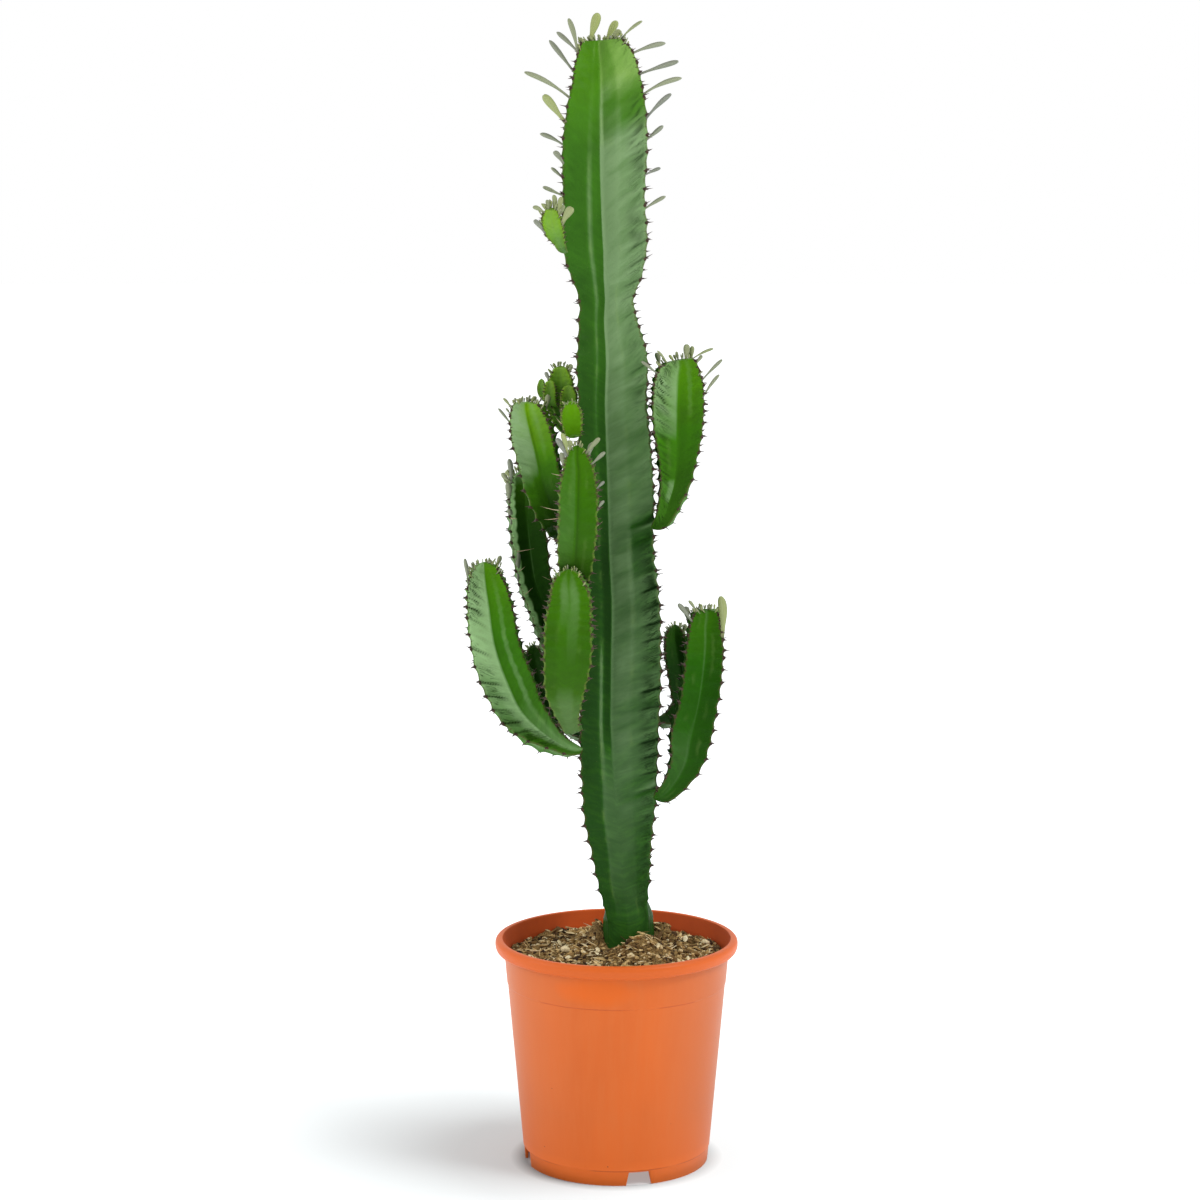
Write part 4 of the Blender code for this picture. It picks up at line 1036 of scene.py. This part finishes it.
# The left front flank and the right front flank of the arms, as for the trunk. G and L are plain.
ARM_FACES = {
    "A": (
        ([(0, 0.7, 0.9, 0, 0), (20, 1, 1, 0, 0.2), (70, 1, 0.95, 0, 0.5), (110, 0.75, 0.5, 0.1, 1.2),
          (150, 0.6, 0.05, 0, 1.2), (180, 0.1, -0.1, 0, 0.3), (220, 0, 0, 0, 0)], 0.7, 1.1, 0),
        ([(0, 0, 0, 0, 0), (60, -0.05, -0.05, 0.25, 0), (110, -0.05, -0.05, 0.35, 0),
          (140, 0.1, 0, 0.1, 0), (170, 0.2, 0.1, 0.1, 0.1)], 0.1, 0.1, 0)),
    "B": (
        ([(0, 0.1, 0, 0, -0.2), (12, 0.3, 0, 0, -0.2), (45, 0, -0.2, 0, 0), (85, -0.05, -0.2, 0, 0),
          (105, 0.3, 0.15, 0, 0), (135, 0.35, 0.3, 0, 0)], 0.1, 0.1, 0),
        ([(0, 0.1, 0, 0, -0.2), (12, 0.3, 0, 0, -0.2), (45, 0.1, -0.1, 0, 0), (85, -0.05, -0.15, 0, 0),
          (105, 0.3, 0.15, 0, 0), (135, 0.35, 0.3, 0, 0)], 0.1, 0.1, 0)),
    "C": (
        ([(0, 0.1, 0, 0, -0.4), (60, 0.1, 0.1, 0, -0.4), (130, -0.1, 0, 0, -0.2)], 0.1, 0.1, 0),
        ([(0, 0, 0, 0, -0.4), (130, -0.2, -0.2, 0, -0.2)], 0.1, 0.1, 0)),
    "D": (
        ([(0, 0.6, 0.9, 0, -0.8), (40, 1, 1, 0, -0.8), (54, 0.5, 0.7, 0, -0.6), (64, -0.2, 0.1, 0, -0.3),
          (85, -0.4, -0.3, 0, -0.2), (125, -0.6, -0.6, 0, 0)], 0.5, 0.2, 0),
        ([(0, 0.1, 0.1, 0.2, -0.3), (40, 0, 0, 0.1, -0.3), (60, -0.3, -0.3, 0, 0),
          (85, -0.8, -0.8, 0, 0)], 0.1, 0.1, 0)),
    "E": (
        ([(0, 0.2, 0.9, 0, 0), (25, -0.4, 1, 0, 0.1), (80, -0.5, 1, 0, 0.3), (130, -0.4, 0.8, 0, 0.4),
          (150, -0.3, 0.3, 0, 0.2), (190, -0.4, -0.2, 0, 0)], 0.2, 0.1, 0),
        ([(0, 0.1, 0.1, 0, 0), (30, -0.1, -0.1, 0, 0.1), (80, -0.15, -0.15, 0, 0.3),
          (130, -0.3, -0.3, 0, 0.2), (160, -0.5, -0.5, 0, 0)], 0.1, 0.1, 0)),
    "F": (
        ([(0, -0.6, -0.6, 0, 0)], 0.3, 0.3, 0),
        ([(0, -0.7, -0.7, 0, 0)], 0.3, 0.3, 0)),
    "H": (
        ([(0, 0, 0, 0, 0)], 0.3, 0.1, 0),
        ([(0, 0, 0, 0, 0)], 0.3, 0.1, 0)),
    "I": (
        ([(0, 0.5, 0.6, 0, 0), (20, 0.7, 0.8, 0, 0.3), (45, 0.5, 0.6, 0, 0.4), (60, 0.25, 0.2, 0, 0.3),
          (70, -0.1, -0.15, 0, 0.2), (100, -0.1, -0.15, 0, 0.1), (108, 0.6, 0.1, 0, 0.1),
          (119, 0.5, 0.05, 0, 0.1), (126, -0.1, -0.1, 0, 0), (150, -0.1, -0.1, 0, 0)], 0.9, 0.9, 0),
        ([(0, 0, 0, 0.1, 0.1), (20, -0.05, -0.05, 0.2, 0.1), (40, -0.2, -0.2, 0.3, 0.1),
          (65, -0.25, -0.25, 0.1, 0.1), (100, -0.3, -0.3, 0, 0)], 0.2, 0.1, 0)),
    "J": (
        ([(0, 0, -0.05, 0, 0), (80, -0.1, -0.1, 0, 0), (120, 0.1, 0.1, 0, 0.3),
          (170, 0, 0, 0, 0)], 0.15, 0.1, 0),
        ([(0, 0, -0.1, 0, 0.2), (80, -0.25, -0.35, 0, 0.35), (120, -0.15, -0.25, 0, 0.2)], 0.15, 0.1, 0)),
    "K": (
        ([(0, -0.3, -0.3, 0, 0.1), (50, -0.5, -0.5, 0, 0)], 0.3, 0.3, 0),
        ([(0, -0.5, -0.5, 0, 0)], 0.3, 0.3, 0)),
}

# Skins of the arms: who wears them, the young, the grown and the old colour, how far below the tip
# they are grown and old, their share of horn and how pale their pale flanks of bloom and painted
# sheen are.
ARM_SKINS = {
    "arm_skin": (
        "I", (0.086, 0.255, 0.002), (0.044, 0.18, 0.003), (0.038, 0.118, 0.01), (60, 190), 1.0, 1.1),
    "broad_arm_skin": (
        "A", (0.078, 0.245, 0.002), (0.04, 0.172, 0.003), (0.036, 0.12, 0.008), (60, 190), 1.0, 1.68),
    "pad_skin": (
        "BC", (0.052, 0.178, 0.002), (0.034, 0.132, 0.002), (0.046, 0.112, 0.012), (60, 130), 0.45),
    "deep_skin": (
        "J", (0.042, 0.16, 0.002), (0.017, 0.1, 0.001), (0.02, 0.085, 0.006), (50, 150)),
    "shaded_arm_skin": (
        "FK", (0.028, 0.11, 0.004), (0.014, 0.066, 0.005), (0.008, 0.04, 0.004), (40, 170)),
    "edge_lit_arm_skin": (
        "E", (0.045, 0.15, 0.004), (0.022, 0.085, 0.005), (0.01, 0.048, 0.004), (40, 170), 1.0, 2.0),
    "new_growth_skin": (
        "H", (0.105, 0.29, 0.002), (0.075, 0.22, 0.002), (0.045, 0.15, 0.006), (25, 60), 0.4),
    "upper_arm_skin": (
        "D", (0.17, 0.39, 0.003), (0.052, 0.19, 0.003), (0.03, 0.105, 0.008), (55, 120), 1.0, 1.15),
    "lobe_skin": (
        "GL", (0.26, 0.5, 0.004), (0.14, 0.33, 0.004), (0.03, 0.11, 0.006), (16, 42), 0.5),
}
skins = {}
for name, (wearers, *looks) in ARM_SKINS.items():
    skins.update(dict.fromkeys(wearers, flesh_finish(name, *looks)))

arms = {}
for count, (name, (*shape, stations)) in enumerate(ARMS.items()):
    rib, root, angle, pitch, crease, hollow, split, dome = shape
    row = int(np.argmin(np.abs(trunk.line[:, 2] - root)))
    start = trunk.line[row, :3] + trunk.outs[row, rib] * (trunk.line[row, 3] - ROOT_DEPTH)
    start[2] = root
    stations = [(*station, angle) for station in [(*start, ROOT_TIP), *stations]]
    thin = stations[4][3] < 16
    flanks = dict(zip([(1, 1), (0, 0)], ARM_FACES.get(name, [])))
    arm = Stem(stations, 20 + count, pitch, 0.9 if thin else 1.3, hollow, flanks, split)
    arms[name] = arm
    points, faces, fields = arm.closed(10 if thin else 13, crease, dome)
    piece = make_piece(f"arm_{name}_flesh", points, faces, skins[name], fields=skin_fields(fields))
    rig.replaces(piece, f"arm_{name}")
    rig.slot(piece, "arm_green")

# Four young lobes that bud from arm G: tooth spacing, stations.
LOBES = [
    (5.5, [(-50, 41, 655, 3), (-57, 41, 658, 5), (-63.5, 41, 663, 5), (-64.5, 41, 669, 5),
           (-64.5, 41, 674, 3)]),
    (6.5, [(-50, 40, 648, 4), (-55, 37, 653, 7), (-57, 35, 660, 8), (-57, 35, 667, 8),
           (-57, 35, 673, 5)]),
    (6.5, [(-43, 41, 629, 4), (-48, 42, 637, 6.5), (-52, 41, 645, 7.5), (-53, 41, 653, 7),
           (-53, 41, 658, 4)]),
    (6.5, [(-45, 40, 646, 4), (-42, 35, 652, 9), (-41, 33, 658, 10.5), (-41, 33, 664, 10),
           (-41, 33, 669, 6)])]
lobes = []
for count, (pitch, stations) in enumerate(LOBES):
    stations = [(*station, 45) for station in stations]
    lobe = Stem(stations, 60 + count, pitch, step=0.8, hollow=0.5)
    lobes.append(lobe)
    points, faces, fields = lobe.closed(half_columns=9, crease=0.3, dome=2.0)
    make_piece(f"arm_G_lobe_{count}", points, faces, skins["G"], fields=skin_fields(fields))
points, faces, tints = merge([spines_of(stem, length=4.2) for stem in [*arms.values(), *lobes]])
make_piece("arm_spines", points, faces, spine_finish, fields={"spike": tints})

long_finish, long_shader, at = new_finish("pale_horn", roughness=0.5)
apply_paint(long_shader, at.noise(0.3).ramp(0.35, 0.65).mix((0.40, 0.26, 0.17), (0.50, 0.42, 0.26)))
# Stem, rib, distance below the tip, length, rise and azimuth in degrees.
LONG_SPINES = [
    ("E", 1, 66, 17, 4, 78), ("E", 1, 84, 9, 30, 60), ("E", 1, 36, 8, -10, 50), ("E", 1, 104, 10, 35, 75),
    ("E", 0, 100, 9, 20, -70), ("C", 1, 22, 8, 5, -85), ("C", 1, 50, 15, 6, -85), ("C", 1, 55, 12, -12, -80),
    ("C", 1, 74, 8, 20, -80), ("C", 0, 60, 6, 30, 60), ("D", 0, 50, 7, 10, 60), ("H", 1, 14, 6, 40, -60)]
bases, ways, lengths, ups = [], [], [], []
for owner, rib, down, length, rise, azimuth in LONG_SPINES:
    crest, out, along, _, _ = arms[owner].crest_point(rib, float(down))
    bases.append(crest - out)
    ways.append(heading(rise, azimuth))
    lengths.append(length + 1.0)
    ups.append(along)
points, faces = thorns(np.array(bases), np.array(ways), np.array(lengths), 0.5, np.array(ups))
make_piece("long_spines", points, faces, long_finish)


# Leaves.
# Small fleshy leaves that live one season above the newest teeth: a slim stalk and a spoon-shaped
# blade, grey-green with a paler middle, broader and yellower on the youngest growth.

# Rib, distance below the tip, length, rise and azimuth in degrees (0 front, 90 right), width.
LEAVES = {
    "trunk": [
        (1, 8, 28, 73, -60, 4.6), (2, 6, 28, 40, -120, 4.2), (2, 22, 37, 48, -120, 4.6),
        (1, 49, 46, 25, -60, 4.6), (1, 69, 28, 46, -60, 7.4), (2, 86, 26, 24, -120, 4.2),
        (1, 102, 12, 48, -60, 5.0), (2, 114, 16, 38, -120, 3.2), (1, 128, 19, 20, -60, 3.6),
        (1, -9, 24, 75, 85, 7.8), (3, -18, 19, 63, 90, 6.5), (0, -12, 11, 42, 60, 5.5),
        (0, 0, 22, 38, 70, 2.8), (3, 14, 35, 17, 120, 4.4), (0, 31, 36, 14, 60, 4.4),
        (3, 44, 42, 22, 120, 4.4), (0, 63, 29, 40, 60, 4.2), (3, 80, 22, 36, 120, 4.0),
        (0, 111, 15, 21, 60, 3.0), (3, 139, 25, 28, 120, 3.5), (2, 50, 30, 45, -208, 5),
        (3, 60, 28, 50, 208, 5), (2, 72, 24, 40, -205, 5), (3, 90, 22, 42, 206, 5)],
    "A": [(1, 10, 20, 81, -60, 3.4), (3, 2, 10, 60, 150, 4), (2, 8, 14, 50, -150, 4)],
    "C": [(1, 6, 19, 53, -45, 5.0), (1, 4, 22, 55, -20, 4.4), (1, 0, 8, 73, -20, 5),
          (0, 3, 18, 45, 60, 4), (0, 14, 16, 40, 60, 3.4), (0, 32, 9, 42, 60, 2.6),
          (0, 47, 8, 53, 60, 2.6), (3, 9, 15, 50, 165, 5), (2, 16, 16, 50, -165, 5)],
    "D": [(2, 17, 20, 46, -120, 2.6), (1, 3, 10, 49, -60, 2.6), (3, 10, 16, 50, 170, 5)],
    "E": [(1, 89, 23, 88, -10, 5), (1, 6, 22, 80, -20, 5), (1, 22, 16, 84, -20, 6), (2, 8, 13, 50, -130, 5),
          (1, 40, 12, 80, -60, 4.5), (3, 16, 18, 50, 165, 6)],
    "I": [(1, 0, 14, 48, -60, 2.2), (1, 12, 18, 34, -60, 3.0), (0, 0, 21, 25, 60, 2.4),
          (0, 14, 24, 43, 60, 3.0), (0, 30, 23, 52, 60, 3.0), (0, -8, 13, 84, 20, 5.5),
          (3, 0, 10, 84, 160, 4), (2, 8, 15, 45, -165, 5)],
    "J": [(0, 22, 34, 88, -90, 7.5), (1, 10, 20, 49, -60, 4.6), (1, 0, 12, 54, -60, 2.8),
          (3, 12, 18, 55, 165, 7), (2, 12, 14, 50, -165, 6)],
    "L": [(1, 14, 13, 46, -60, 4.4), (1, 2, 11, 25, -60, 4.0), (0, 11, 16, 52, 50, 7),
          (1, -3, 9, 80, -20, 3.5), (0, -4, 13, 82, -20, 4.2), (0, 4, 15, 85, 60, 4.6),
          (3, 4, 10, 60, 140, 4)],
    "G": [(2, 10, 10, 45, -150, 4), (3, 4, 10, 45, 170, 4)],
    "K": [(0, 4, 8, 60, 40, 4), (3, 6, 9, 45, 165, 4)],
}
# How deep the foot of a leaf's stalk is sunk in the flesh.
LEAF_ROOT = 2.2


def leaf_blade(base, way, length, width, tint, curl, fine=True):
    """A closed blade along an upward arc, its broad face turned to the front. Its half width is a
    slim stalk that swells along 3t^2 - 2t^3 to the blade and closes as a quarter ellipse at the
    tip; its section is a flat oval, creased along the middle."""
    side = np.cross(way, [0.2, 1.0, 0.3])
    side /= np.linalg.norm(side)
    arch = side if side[2] > 0.0 else -side
    upper = np.cross(side, way)
    t = np.array([0.0, 0.08, 0.2, 0.32, 0.42, 0.52, 0.62, 0.72, 0.81, 0.88, 0.94, 0.98, 1.0])
    t = t if fine else np.array([0.0, 0.3, 0.6, 0.88, 1.0])
    swell = np.clip((t - 0.22) / 0.5, 0.0, 1.0)
    swell = swell * swell * (3 - 2 * swell)
    tip = np.sqrt(1.0 - np.clip((t - 0.8) / 0.204, 0.0, 1.0) ** 2)
    half = width / 2 * (0.46 + 0.54 * swell) * tip
    thick = (0.65 + 0.2 * swell) * tip
    columns = 12 if fine else 6
    turns = np.linspace(0, 2 * math.pi, columns, endpoint=False)
    across = np.cos(turns)[None, :] * half[:, None]
    lift = np.sin(turns)[None, :] * thick[:, None]
    lift = lift + 0.16 * width * swell[:, None] * np.cos(turns)[None, :] ** 2
    start = base - way * LEAF_ROOT
    middle = start + way * (t * (length + LEAF_ROOT))[:, None] + arch * (curl * length * (t - t**2))[:, None]
    points = middle[:, None] + side * across[..., None] + upper * lift[..., None]
    fields = np.stack(np.broadcast_arrays(t[:, None], np.cos(turns)[None, :], tint), axis=-1)
    return points.reshape(-1, 3), tube_faces(len(t), columns), fields.reshape(-1, 3)


def crown_buds(stem, count, sizes, seed):
    """Stubs of new leaves crowded on a stem's crown: each stands on the line from a crest to the
    tip, leans outward more the farther out it stands, and is a small blade of few faces."""
    chance = np.random.default_rng(seed)
    radius = stem.line[-1, 3]
    parts = []
    for rib in range(4):
        for share in chance.uniform(0.05, 1.3, count):
            if share < 1.0:
                base = stem.line[-1, :3] + stem.outs[-1, rib] * (radius * share)
                base = base + stem.tangents[-1] * (stem.dome * (1.0 - share) ** 0.85)
                out, along = stem.outs[-1, rib], stem.tangents[-1]
            else:
                base, out, along, _, _ = stem.crest_point(rib, (share - 1.0) * 30.0)
            side = np.cross(out, along)
            base = base + side * chance.normal(0.0, 1.2)
            way = out * (0.1 + 0.75 * share) + along + side * chance.normal(0.0, 0.3)
            way = way / np.linalg.norm(way)
            length = chance.uniform(*sizes)
            width = length * chance.uniform(0.28, 0.5)
            parts.append(leaf_blade(base, way, length, width, chance.uniform(0.3, 1.0), 0.0, False))
    return merge(parts)


def crest_at(stem, rib, down):
    """The crest's point at a distance below the top; a negative distance lies on the crown, that
    much in from the last crest point."""
    crest = stem.crest_point(rib, max(float(down), 0.0))[0]
    return crest + stem.outs[-1, rib] * min(float(down), 0.0)


leaf_finish, leaf_shader, at = new_finish("leaf_skin", roughness=0.5, ior=1.42)
along, across, tint = at.field("leaf")
wide = abs(across)
green = tint.mix((0.205, 0.216, 0.188), (0.33, 0.38, 0.125))
green = (wide.ramp(0.55, 1.0) * 0.6).mix(green, tint.mix((0.130, 0.136, 0.118), (0.21, 0.25, 0.085)))
green = (wide.ramp(0.2, 0.0) * along.ramp(0.3, 0.5) * 0.3).mix(green, (0.42, 0.46, 0.27))
green = (along.ramp(0.25, 0.0) * 0.7).mix(green, (0.085, 0.075, 0.055))
apply_paint(leaf_shader, green, None, at.noise(0.8, 3.0), 0.15)
chance = np.random.default_rng(90)
stems = {"trunk": trunk, **arms}
for owner, rows in LEAVES.items():
    parts = []
    for rib, down, length, rise, azimuth, width in rows:
        crest = crest_at(stems[owner], rib, down)
        tint = np.clip(chance.normal(0.2 if width < 6.4 else 0.8, 0.1) + (0.4 if down < 5 else 0), 0, 1)
        curl = chance.uniform(0.0, 0.25)
        parts.append(leaf_blade(crest, heading(rise, azimuth), length, width, tint, curl))
    points, faces, fields = merge(parts)
    make_piece(f"leaves_{owner}", points, faces, leaf_finish, fields={"leaf": fields})
# Stem, stubs on each rib, shortest and longest stub.
BUDS = [
    ("trunk", 26, (2.0, 5.0)), ("A", 9, (2.5, 5.0)), ("B", 5, (2.0, 4.0)), ("C", 4, (2.0, 4.5)),
    ("D", 8, (3.0, 6.0)), ("E", 9, (3.5, 8.0)), ("I", 5, (3.0, 7.5)), ("J", 9, (2.5, 5.0)),
    ("L", 7, (3.0, 7.0)), ("G", 6, (2.5, 5.0)), ("K", 4, (2.0, 4.0)), ("F", 4, (2.0, 4.0)),
    ("H", 3, (1.5, 3.0))]
buds = [crown_buds(stems[owner], count, sizes, 300 + k) for k, (owner, count, sizes) in enumerate(BUDS)]
points, faces, fields = merge(buds)
make_piece("crown_stubs", points, faces, leaf_finish, fields={"leaf": fields})


# Floor, light and camera.
# A pale sheet of paper under and behind the pot, which glows: painted light that rises with the
# distance from the pot so that the shadow stays soft, and a little under the pot; a light tent,
# darker in front; a lamp at each side and one for the floor alone; the camera.

floor_mesh = bpy.data.meshes.new("paper_floor")
floor_mesh.from_pydata([(-30, -4, 0), (30, -4, 0), (30, 60, 0), (-30, 60, 0)], [], [(0, 1, 2, 3)])
floor = bpy.data.objects.new("paper_floor", floor_mesh)
bpy.context.scene.collection.objects.link(floor)
paper, paper_shader, at = new_finish("pale_paper", roughness=0.9, specular_ior_level=0.0)
# The paper's grey is tinted blue-green, painted to cancel the red light bounced from the pot.
paper_shader.inputs["Base Color"].default_value = (0.338, 0.366, 0.371, 1.0)
x, y, _ = at.parts()
from_pot = from_pot_axis(x, y)
# Painted light: the glow is low beside the pot where its shadow falls, rises far out, and is faint under the pot
# except towards its left.
under_pot = from_pot.ramp(79.5, 77.0) * x.ramp(-66.0, -50.0) * 0.33
beside_pot = from_pot.ramp(79.5, 93.0) * 0.295
far_out = from_pot.ramp(140.0, 640.0) * 0.62
glow = (under_pot + beside_pot + far_out).mix((0.0, 0.0, 0.0), (1.0, 1.0, 1.0))
paper_shader.id_data.links.new(glow.socket, paper_shader.inputs["Emission Color"])
paper_shader.inputs["Emission Strength"].default_value = 1.0
floor_mesh.materials.append(paper)
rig.stage(floor)

world = bpy.data.worlds.new("light_tent")
world.use_nodes = True
sky = world.node_tree.nodes["Background"]
toward = Wire(world.node_tree.nodes.new("ShaderNodeTexCoord").outputs["Generated"]).parts()[1]
seen = Wire(world.node_tree.nodes.new("ShaderNodeLightPath").outputs["Is Camera Ray"])
glow = 0.95 - toward.ramp(-0.25, -0.9) * 0.6
strength = glow + seen * (1.0 - glow)
world.node_tree.links.new(strength.socket, sky.inputs["Strength"])
sky.inputs["Color"].default_value = (1.0, 1.0, 1.0, 1.0)
bpy.context.scene.world = world
bpy.context.scene.view_settings.view_transform = "Standard"


def add_lamp(name, place, target, size, watts, lit=None):
    """A square area lamp that faces the target and lights everything, or one object only."""
    lamp = bpy.data.lights.new(name, "AREA")
    lamp.shape = "SQUARE"
    lamp.size = size
    lamp.energy = watts
    item = bpy.data.objects.new(name, lamp)
    place, target = np.array(place), np.array(target)
    back = (place - target) / np.linalg.norm(place - target)
    right = np.cross([0.0, 0.0, 1.0], back)
    right /= np.linalg.norm(right)
    up = np.cross(back, right)
    turn = np.stack([right, up, back], axis=1)
    item.matrix_world = Matrix([(*row, p) for row, p in zip(turn.tolist(), place.tolist())] + [(0, 0, 0, 1)])
    bpy.context.scene.collection.objects.link(item)
    if lit:
        only = bpy.data.collections.new(name)
        only.objects.link(lit)
        item.light_linking.receiver_collection = only


add_lamp("right_lamp", (1.7, -0.9, 2.1), (0.0, 0.0, 0.4), 0.7, 23.0)
add_lamp("left_lamp", (-2.2, -0.6, 1.4), (0.0, 0.0, 0.6), 1.6, 18.0)
add_lamp("shadow_lamp", (1.25, -0.36, 2.5), (0.0, 0.0, 0.1), 1.5, 100.0, floor)

camera = bpy.data.cameras.new("camera")
camera.lens = 81.66
camera.sensor_width = 36.0
camera.clip_start = 0.1
camera_item = bpy.data.objects.new("camera", camera)
camera_item.location = (-0.0008, -2.3, 0.785)
camera_item.rotation_euler = (math.radians(90.0 - 7.32), 0.0, 0.0)
bpy.context.scene.collection.objects.link(camera_item)
bpy.context.scene.camera = camera_item

low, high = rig.bounds()
with open("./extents.json", "w") as size_file:
    json.dump({"cad": [list(cad_low), list(cad_high)], "visual": [list(low), list(high)]}, size_file)
